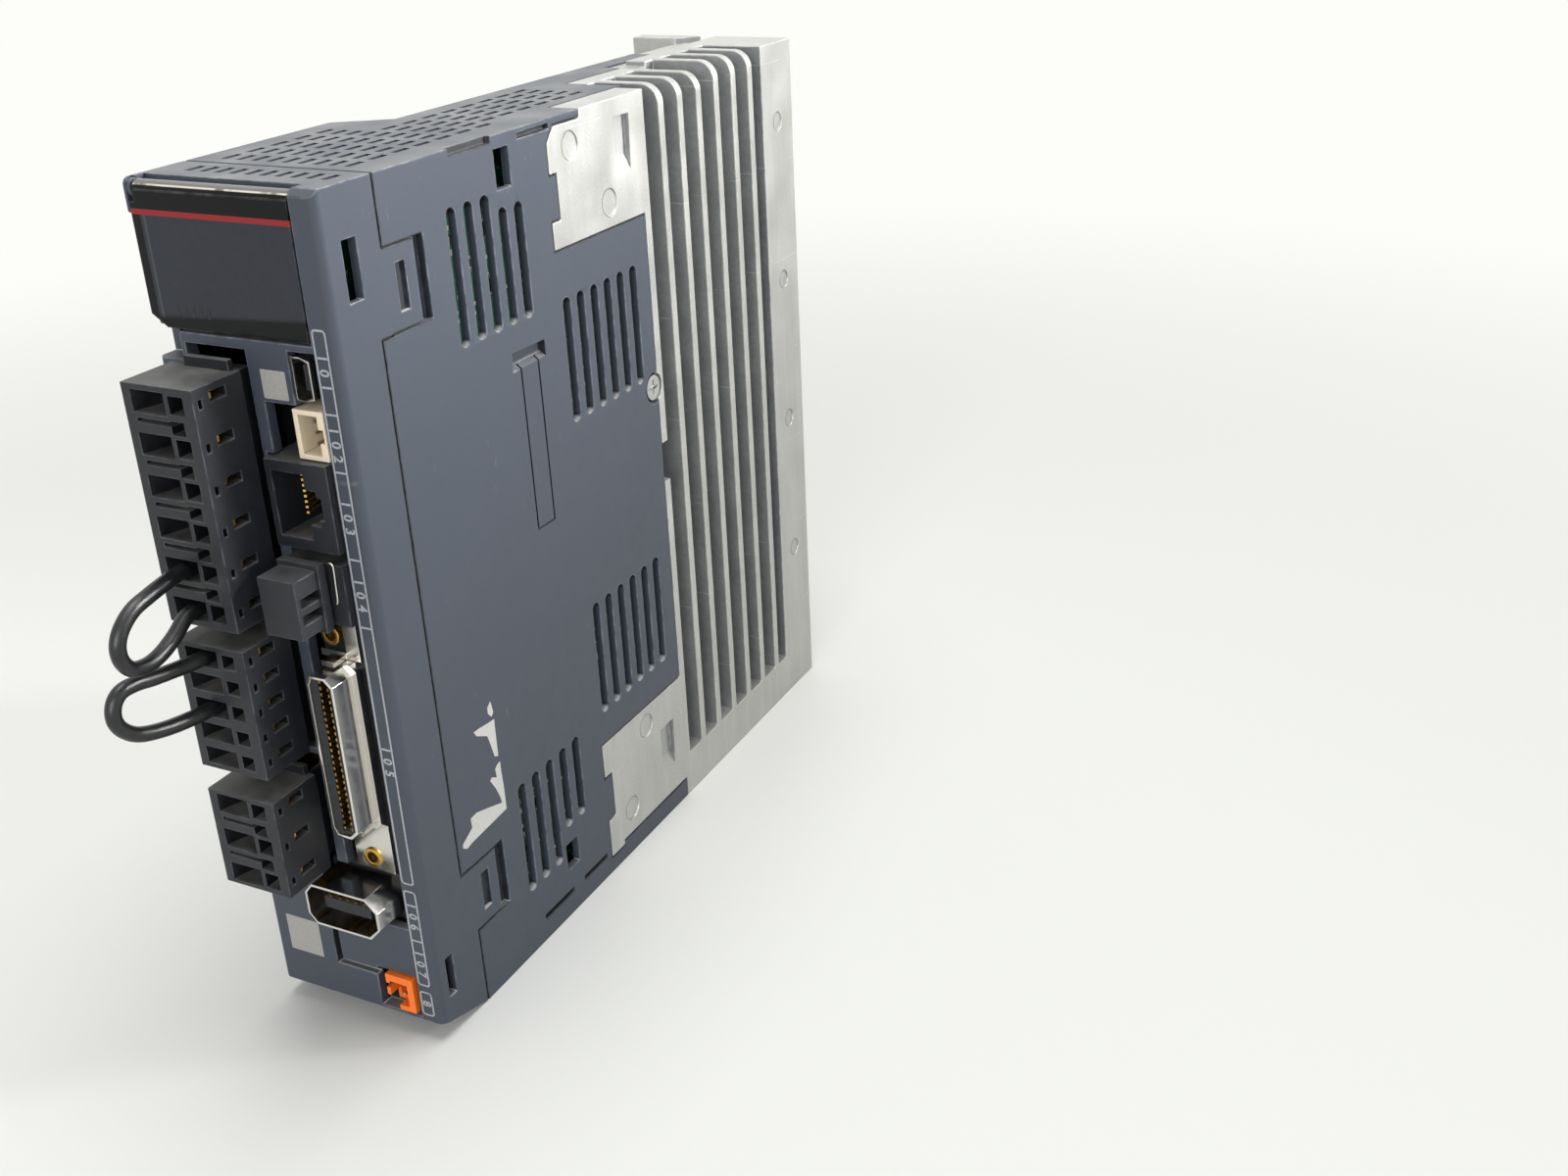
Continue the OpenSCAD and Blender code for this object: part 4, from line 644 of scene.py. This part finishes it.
def tubeMesh(name, path, radius, sides=24):
    # circle carried along the path: point = path + radius * (cos a * across + sin a * upright)
    heading = unitRows(np.gradient(path, axis=0))
    upright = unitRows(np.cross(heading, [1.0, 0.0, 0.0]))
    across = np.cross(heading, upright)
    angle = np.linspace(0, 2 * np.pi, sides, endpoint=False)[None, :, None]
    spokes = np.cos(angle) * across[:, None, :] + np.sin(angle) * upright[:, None, :]
    rings = path[:, None, :] + radius * spokes
    count = len(path)
    ring, side = np.meshgrid(np.arange(count - 1), np.arange(sides), indexing="ij")
    start = (ring * sides + side).ravel()
    following = (ring * sides + (side + 1) % sides).ravel()
    quads = np.stack([start, following, following + sides, start + sides], 1)
    caps = [list(range(sides))[::-1], list(range((count - 1) * sides, count * sides))]
    mesh = bpy.data.meshes.new(name)
    mesh.from_pydata(rings.reshape(-1, 3).tolist(), [], quads.tolist() + caps)
    run = np.concatenate([[0], np.cumsum(np.linalg.norm(np.diff(path, axis=0), axis=1))])
    corners = np.zeros(len(mesh.loops), np.int32)
    mesh.loops.foreach_get("vertex_index", corners)
    lengthwise = np.stack([run[corners // sides] / radius, (corners % sides) / sides], 1)
    mesh.uv_layers.new(name="lengthwise").data.foreach_set("uv", lengthwise.astype(np.float32).ravel())
    turnOutward(mesh)
    mesh.polygons.foreach_set("use_smooth", np.ones(len(mesh.polygons), bool))
    return mesh


def turnOutward(mesh):
    shape = bmesh.new()
    shape.from_mesh(mesh)
    bmesh.ops.recalc_face_normals(shape, faces=shape.faces)
    shape.to_mesh(mesh)
    shape.free()


def makeJumper(name, values):
    path = smoothRoute(points(values["route"]), 8)
    radius = values["diameter"] / 2 * mm
    wire = addPiece(name + "_wire", tubeMesh(name + "_wire", path, radius), values["body"], "wire_sheath")
    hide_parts(name)


for name, values in jumpers.items():
    makeJumper(name, values)
print("jumper wires laid")


# Moulded and cast pieces with softened edges: edge radius in millimetres by node
softEdges = {
    "heat_sink": 0.3, "main_case": 0.25, "front_case": 0.25, "display_cover": 0.2, "line_plug": 0.18,
    "link_plug": 0.16, "motor_plug": 0.18, "serial_jack": 0.2, "safety_plug": 0.2, "safety_socket": 0.2,
    "monitor_port": 0.16, "battery_socket": 0.12, "io_shell": 0.08, "io_insulator": 0.1,
    "io_brackets": 0.08, "io_lock_nuts": 0.08, "encoder_shell": 0.06, "encoder_insulator": 0.08,
    "usb_shell": 0.05, "case_screw": 0.06, "earth_screws": 0.08, "mode_button": 0.2, "up_button": 0.2,
    "down_button": 0.2, "set_button": 0.2,
}
# Fine places whose edges stay crisp: low and high corner
crispPlaces = {"main_case": [((18, 48.5, 88.5), (20.2, 62, 128)), ((-15.2, 16.5, 160), (13.6, 95.5, 168)),
                             ((-15.2, 16.5, -0.5), (13.6, 95.5, 3))],
               "front_case": [((-20.2, -0.2, 160.5), (-18.2, 4.6, 167)),
                              ((-13.8, 7, 160), (17, 11.8, 168))]}
# Sunk places with set painted shade: 0 is open and unshaded, 2 is closed and painted dark as painted shade,
# with low and high corner
shadePlaces = {"main_case": [
    (0.0, (17.5, 22.6, 25), (19.95, 25.2, 165)), (0.0, (-19.95, 22.6, 25), (-17.5, 25.2, 165)),
    (2.0, (18.8, 34.8, 165.3), (20.05, 47.5, 166.75)), (2.0, (18.9, 55.4, 164.6), (19.8, 65.2, 166)),
    (2.0, (17.9, 36.3, 4.7), (20.05, 47.8, 6.3)), (2.0, (17.9, 52, 4.7), (20.05, 61.6, 6.3)),
    (2.0, (-20.05, 36.3, 4.7), (-17.9, 47.8, 6.3)), (2.0, (-20.05, 52, 4.7), (-17.9, 61.6, 6.3))]}
gapReaches = {"heat_sink": 9.0, "other": 3.0}  # how far a gap counts as narrow, in millimetres
softenAngle = math.radians(40)


def inPlaces(spot, places):
    return any(all(low[i] <= spot[i] <= high[i] for i in range(3)) for low, high in places)


def hemisphere(count):
    # directions over a half sphere, turned by the golden angle: height h, radius sqrt(1 - h * h)
    height = (np.arange(count) + 0.5) / count
    angle = np.arange(count) * np.pi * (3 - np.sqrt(5))
    radius = np.sqrt(1 - height ** 2)
    return [Vector(row) for row in np.stack([radius * np.cos(angle), radius * np.sin(angle), height], 1)]


gapRays = hemisphere(14)
# Largest ledge that is marked and how far up it looks, largest wall in squares of the reach, and how
# far off its face a ray starts
gapLook = {"ledge": 2 * mm * mm, "upward": 0.3, "wall": 40, "off": 0.02 * mm}


def markGaps(shape, layer, reach):
    # share of short rays off each small face that meet the piece again; wide ledges and walls stay open
    tree = BVHTree.FromBMesh(shape)
    wall = gapLook["wall"] * reach * reach
    for face in shape.faces:
        widest = gapLook["ledge"] if face.normal.z > gapLook["upward"] else wall
        if face.calc_area() < widest:
            turn = face.normal.to_track_quat("Z", "Y")
            start = face.calc_center_median() + face.normal * gapLook["off"]
            met = sum(tree.ray_cast(start, turn @ ray, reach)[0] is not None for ray in gapRays)
            face[layer] = met / len(gapRays)


def markShadePlaces(shape, layer, places):
    for value, low, high in places:
        place = [(at(*low), at(*high))]
        for face in shape.faces:
            if inPlaces(face.calc_center_median(), place):
                face[layer] = value


def joinShapes(shapes):
    rows, faces = [], []
    for shapeRows, shapeFaces in shapes:
        faces += [[corner + len(rows) for corner in face] for face in shapeFaces]
        rows += [list(row) for row in shapeRows]
    return np.array(rows), faces


# Neighbours along the parting lines, and how near counts as a seam that gets painted shade
seamNeighbours = {"front_case": ["main_case"], "main_case": ["front_case", "heat_sink"]}
seamReach = 0.5 * mm


def markSeamShade(faces, layer, names):
    # rounded edges beside a neighbouring piece count as more than closed, so the seam is painted dark as
    # painted shade
    meshes = [frame["nodes"][name].data for name in names]
    rows, sides = joinShapes([([corner.co for corner in mesh.vertices],
                               [list(side.vertices) for side in mesh.polygons]) for mesh in meshes])
    tree = BVHTree.FromPolygons(rows.tolist(), sides)
    for face in faces:
        if tree.find_nearest(face.calc_center_median(), seamReach)[0] is not None:
            face[layer] = 2.0


def softenedMesh(node, radius):
    # merged copy of the node, its flat faces joined, its edges rounded and marked for wear
    mesh = frame["nodes"][node].data.copy()
    mesh.name = node + "_softened"
    shape = bmesh.new()
    shape.from_mesh(mesh)
    marked = shape.faces.layers.float.new("edgeFace")
    narrow = shape.faces.layers.float.new("narrowGap")
    bmesh.ops.remove_doubles(shape, verts=shape.verts, dist=2e-6)
    bmesh.ops.dissolve_limit(shape, angle_limit=math.radians(0.6), verts=shape.verts, edges=shape.edges)
    places = [(at(*low), at(*high)) for low, high in crispPlaces.get(node, [])]
    crisp = [edge for edge in shape.edges
             if len(edge.link_faces) == 2 and edge.calc_face_angle() > softenAngle
             and not all(inPlaces(corner.co, places) for corner in edge.verts)]
    made = bmesh.ops.bevel(shape, geom=crisp, offset=radius, offset_type="OFFSET", segments=2, profile=0.6,
                           affect="EDGES", clamp_overlap=False)
    for face in made["faces"]:
        face[marked] = 1.0
    for face in shape.faces:
        face.smooth = True
    for edge in shape.edges:
        edge.smooth = len(edge.link_faces) != 2 or edge.calc_face_angle() < softenAngle
    # share of near faces, seams and sunk places set the painted shade and the painted ledge highlight
    markGaps(shape, narrow, gapReaches.get(node, gapReaches["other"]) * mm)
    markShadePlaces(shape, narrow, shadePlaces.get(node, []))
    if node in seamNeighbours:
        markSeamShade([face for face in shape.faces if face[marked] > 0], narrow, seamNeighbours[node])
    bmesh.ops.triangulate(shape, faces=[face for face in shape.faces if len(face.verts) > 4])
    shape.to_mesh(mesh)
    shape.free()
    return mesh


slotOf = {entry["node"]: entry["material_slot"] for entry in frame["record"]["subparts"]}
bodies = frame["record"]["behaviour"]["bodies"]
bodyOf = {node: body for body, members in bodies.items() for node in members}
for node, radius in softEdges.items():
    piece = addPiece(node + "_softened", softenedMesh(node, radius * mm), bodyOf[node], slotOf[node])
    weighted = piece.modifiers.new("evenNormals", "WEIGHTED_NORMAL")
    weighted.keep_sharp = True
    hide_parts(node)
print("softened pieces:", len(softEdges))


# Flat prints and labels, drawn in a plane as rows of two numbers with their faces
def barShape(low, high):
    return [(low[0], low[1]), (high[0], low[1]), (high[0], high[1]), (low[0], high[1])], [[0, 1, 2, 3]]


def roundedLoop(low, high, radius, steps=5):
    # four corner arcs in turn: point = centre + radius * (cos a, sin a)
    centres = [(high[0] - radius, high[1] - radius), (low[0] + radius, high[1] - radius),
               (low[0] + radius, low[1] + radius), (high[0] - radius, low[1] + radius)]
    angle = np.linspace(0, np.pi / 2, steps + 1)
    return np.concatenate([np.stack([x + radius * np.cos(angle + turn * np.pi / 2),
                                     z + radius * np.sin(angle + turn * np.pi / 2)], 1)
                           for turn, (x, z) in enumerate(centres)])


def ringShape(low, high, radius, width):
    # band between a rounded loop and the same loop set in by the width
    outer = roundedLoop(low, high, radius)
    inner = roundedLoop((low[0] + width, low[1] + width), (high[0] - width, high[1] - width),
                        radius - width)
    count = len(outer)
    faces = [[i, (i + 1) % count, count + (i + 1) % count, count + i] for i in range(count)]
    return np.concatenate([outer, inner]).tolist(), faces


def plateShape(low, high, radius):
    loop = roundedLoop(low, high, radius)
    return loop.tolist(), [list(range(len(loop)))]


def glyphShape(mark):
    # one plain digit as a flat mesh, its height made 1
    curve = bpy.data.curves.new("digit" + mark, "FONT")
    curve.body = mark
    curve.resolution_u = 3
    curve.offset = 0.025
    holder = bpy.data.objects.new("digit" + mark, curve)
    scene.collection.objects.link(holder)
    outline = holder.evaluated_get(bpy.context.evaluated_depsgraph_get()).to_mesh()
    rows = np.array([corner.co[:2] for corner in outline.vertices])
    faces = [list(face.vertices) for face in outline.polygons]
    bpy.data.objects.remove(holder)
    middle = (rows.min(0) + rows.max(0)) / 2
    return (rows - middle) / np.ptp(rows[:, 1]), faces


def meshOf(name, rows, faces):
    mesh = bpy.data.meshes.new(name)
    mesh.from_pydata(np.asarray(rows).tolist(), [], faces)
    return mesh


def frontPrint(name, shapes, lift, body, material):
    # x and z of the shapes carried onto the front face, or onto a plane before or behind it
    flat, faces = joinShapes(shapes)
    rows = points(np.stack([flat[:, 0], np.full(len(flat), -lift), flat[:, 1]], 1))
    addPiece(name, meshOf(name, rows, faces), body, material)


# Boxes printed on the pillar beside the sockets: height from and to, dividers, plain numbers read downwards
pillarBoxes = [
    {"top": 144.4, "base": 36.7, "dividers": [129.7, 119.5, 103.5, 90.5],
     "marks": ["101", "102", "103", "104", "105"]},
    {"top": 35.3, "base": 13.0, "dividers": [23.5], "marks": ["106", "107"]},
    {"top": 11.6, "base": 5.8, "dividers": [], "marks": ["8"]},
]
pillarPrint = {"x": (15.2, 18.15), "line": 0.36, "corner": 0.8, "lift": 0.03, "digit": 2.0, "pitch": 2.5,
               "boxes": pillarBoxes}


def makePillarPrint(values):
    left, right = values["x"]
    line = values["line"]
    digits = {mark: glyphShape(mark) for mark in "012345678"}
    shapes = []
    for box in values["boxes"]:
        shapes.append(ringShape((left, box["base"]), (right, box["top"]), values["corner"], line))
        for z in box["dividers"]:
            shapes.append(barShape((left + line, z), (right - line, z + line)))
        ends = [box["top"], *box["dividers"], box["base"]]
        for mark, high, low in zip(box["marks"], ends[:-1], ends[1:]):
            for step, digit in enumerate(mark):
                rows, faces = digits[digit]
                middle = (high + low) / 2 + ((len(mark) - 1) / 2 - step) * values["pitch"]
                turned = np.stack([(left + right) / 2 + rows[:, 1] * values["digit"],
                                   middle - rows[:, 0] * values["digit"]], 1)
                shapes.append((turned.tolist(), faces))
    frontPrint("pillar_print", shapes, values["lift"], "drive", "pale_ink")


# Bare pale labels on the front: low and high corner
bareLabels = {"socket_label": {"low": (2.75, 131.3), "high": (8.1, 136.4)},
              "base_label": {"low": (-16.3, 12.5), "high": (-8.1, 20.9)}}
labelCorner, labelLift = 0.2, 0.03

# Digits of the display behind the flap, not lit
segmentLook = {"count": 5, "pitch": 4.2, "high": 6.0, "wide": 2.9, "stroke": 0.62, "slant": 0.12, "x": -1.0,
               "z": 155.5, "lift": -4.56}


def segmentShapes(values):
    # seven bars with pointed ends, sheared: x = x + slant * z
    half, stroke = values["high"] / 2, values["stroke"]
    level = np.array([[-1, 0], [-0.8, -1], [0.8, -1], [1, 0], [0.8, 1], [-0.8, 1]])
    flat = level * [values["wide"] / 2 - 0.15, stroke / 2]
    upright = level[:, ::-1][::-1] * [stroke / 2, half / 2 - 0.15]
    bars = [flat + [0, z] for z in (-half, 0, half)]
    edge = values["wide"] / 2
    bars += [upright + [x, z] for x in (-edge, edge) for z in (-half / 2, half / 2)]
    shapes = []
    for place in range(values["count"]):
        shift = values["x"] + (place - (values["count"] - 1) / 2) * values["pitch"]
        for bar in bars:
            leant = np.stack([bar[:, 0] + values["slant"] * bar[:, 1] + shift, bar[:, 1] + values["z"]], 1)
            shapes.append((leant.tolist(), [list(range(6))]))
    return shapes


# Short dark bars moulded into the flap near its lower edge
flapBars = {"count": 5, "x": -13.4, "pitch": 1.7, "wide": 0.7, "z": (144.0, 145.8), "lift": 0.03}


def flapBarShapes(values):
    low, high = values["z"]
    starts = [values["x"] + i * values["pitch"] for i in range(values["count"])]
    return [barShape((x, low), (x + values["wide"], high)) for x in starts]


# Torn paper left on the right side: corners as y and z
paperScraps = {"lift": 0.04, "side": 20.0, "pieces": [
    [(27.1, 62.9), (27.6, 60.2), (26.9, 59.5), (25.9, 60.7), (25.9, 62.0)],
    [(27.6, 58.7), (27.5, 56.5), (27.4, 50.4), (26.3, 50.9), (25.2, 55.0), (24.8, 56.3), (21.6, 58.0),
     (20.9, 59.2), (22.4, 59.2), (25.8, 58.8)],
    [(27.7, 49.1), (27.7, 46.8), (27.9, 43.2), (27.9, 37.9), (26.3, 37.8), (20.5, 37.4), (15.9, 37.1),
     (14.4, 36.7), (13.1, 37.5), (13.2, 38.4), (16.6, 40.2), (16.5, 42.3), (18.5, 42.5), (22.3, 41.4),
     (26.7, 40.0), (26.3, 41.7), (25.4, 44.0), (23.9, 46.6), (24.5, 47.1), (26.1, 46.2), (25.9, 48.2),
     (26.7, 48.8)]]}


def makePaperScraps(values):
    shapes = []
    for piece in values["pieces"]:
        rows = np.array(piece)
        after = np.roll(rows, -1, 0)
        turned = np.sum(rows[:, 0] * after[:, 1] - after[:, 0] * rows[:, 1]) < 0
        shapes.append((rows[::-1].tolist() if turned else rows.tolist(), [list(range(len(rows)))]))
    flat, faces = joinShapes(shapes)
    outside = np.full(len(flat), values["side"] + values["lift"])
    rows = points(np.stack([outside, flat[:, 0], flat[:, 1]], 1))
    addPiece("paper_scraps", meshOf("paper_scraps", rows, faces), "drive", "paper_scrap")


# Chips and small parts on the outer face of the control board: body sizes along, across and off the board
boardParts = {"face": 16.4, "seed": 7, "y": (33.0, 90.0), "z": (10.0, 156.0), "pitch": (4.4, 5.2),
              "sizes": [(1.0, 0.5, 0.4), (1.6, 0.8, 0.5), (2.0, 1.2, 0.6), (3.2, 1.6, 0.7),
                        (3.6, 3.2, 1.0)],
              "posts": [(30.4, 28.0), (30.4, 146.0), (84.0, 28.0), (84.0, 146.0)], "clear": 5.0,
              "share": 0.62}


def boxesMesh(name, lows, highs):
    # corner k of a box is low + bit pattern of k * (high - low)
    bits = np.array([[k & 1, k >> 1 & 1, k >> 2] for k in range(8)], float)
    rows = lows[:, None, :] + bits[None] * (highs - lows)[:, None, :]
    sides = np.array([[0, 4, 6, 2], [1, 3, 7, 5], [0, 1, 5, 4], [2, 6, 7, 3], [0, 2, 3, 1], [4, 5, 7, 6]])
    faces = (sides[None] + 8 * np.arange(len(lows))[:, None, None]).reshape(-1, 4)
    return meshOf(name, points(rows.reshape(-1, 3)), faces.tolist())


def makeBoardParts(values):
    chance = np.random.default_rng(values["seed"])
    bodies, ends = [], []
    for y in np.arange(*values["y"], values["pitch"][0]):
        for z in np.arange(*values["z"], values["pitch"][1]):
            along, across, off = values["sizes"][chance.integers(len(values["sizes"]))]
            upright, kept = chance.random() < 0.5, chance.random() < values["share"]
            if not kept or any(math.hypot(y - py, z - pz) < values["clear"] for py, pz in values["posts"]):
                continue
            half = np.array([across, along] if upright else [along, across]) / 2
            reach = half * ([1, 0.72] if upright else [0.72, 1])
            face = values["face"]
            bodies.append([[face, y - reach[0], z - reach[1]], [face + off, y + reach[0], z + reach[1]]])
            ends.append([[face, y - half[0], z - half[1]], [face + off * 0.92, y + half[0], z + half[1]]])
    groups = [("board_chips", bodies, "black_plastic"), ("board_solder", ends, "pin_metal")]
    for name, boxes, material in groups:
        corners = np.array(boxes)
        addPiece(name, boxesMesh(name, corners[:, 0], corners[:, 1]), "drive", material)


# Thin lip of the front case outside the left hinge ear: outline as y and z, and its x from and to
caseLip = {"x": (-20.0, -19.46),
           "outline": [(0.3, 160.9), (0.05, 161.2), (0.05, 165.3), (0.15, 165.9), (0.5, 166.4),
                       (1.1, 166.7), (2.4, 166.75), (2.4, 160.9)]}


def prismMesh(name, outline, low, high):
    # outline in y and z carried along x, closed by its two ends
    count = len(outline)
    rows = [[x, y, z] for x in (low, high) for y, z in outline]
    sides = [[i, (i + 1) % count, count + (i + 1) % count, count + i] for i in range(count)]
    mesh = meshOf(name, points(rows), sides + [list(range(count)), list(range(count, 2 * count))])
    turnOutward(mesh)
    return mesh


# Wire clip beside the safety socket: x, y, z in millimetres
safetyClip = {"radius": 0.2, "route": [[11.9, -1.7, 103.2], [12.7, -1.75, 103.1], [13.1, -1.75, 102.5],
                                       [13.0, -1.75, 99.0], [12.9, -1.75, 96.4], [12.6, -1.75, 95.4]]}

makePillarPrint(pillarPrint)
for name, values in bareLabels.items():
    label = plateShape(values["low"], values["high"], labelCorner)
    frontPrint(name, [label], labelLift, "drive", "bare_label")
frontPrint("display_segments", segmentShapes(segmentLook), segmentLook["lift"], "drive", "dim_segment")
frontPrint("flap_bars", flapBarShapes(flapBars), flapBars["lift"], "cover", "black_plastic")
addPiece("case_lip", prismMesh("case_lip", caseLip["outline"], *caseLip["x"]), "drive", "case_plastic")
makePaperScraps(paperScraps)
makeBoardParts(boardParts)
clipPath = smoothRoute(points(safetyClip["route"]), 6)
addPiece("safety_clip", tubeMesh("safety_clip", clipPath, safetyClip["radius"] * mm, 10), "drive",
         "shell_metal")
print("prints, labels, scraps and board parts placed")

# The other CAD nodes keep their shape and get their finish
for node, part in frame["nodes"].items():
    if not part.hide_render:
        part.data.materials.clear()
        part.data.materials.append(materials[slotOf[node]])
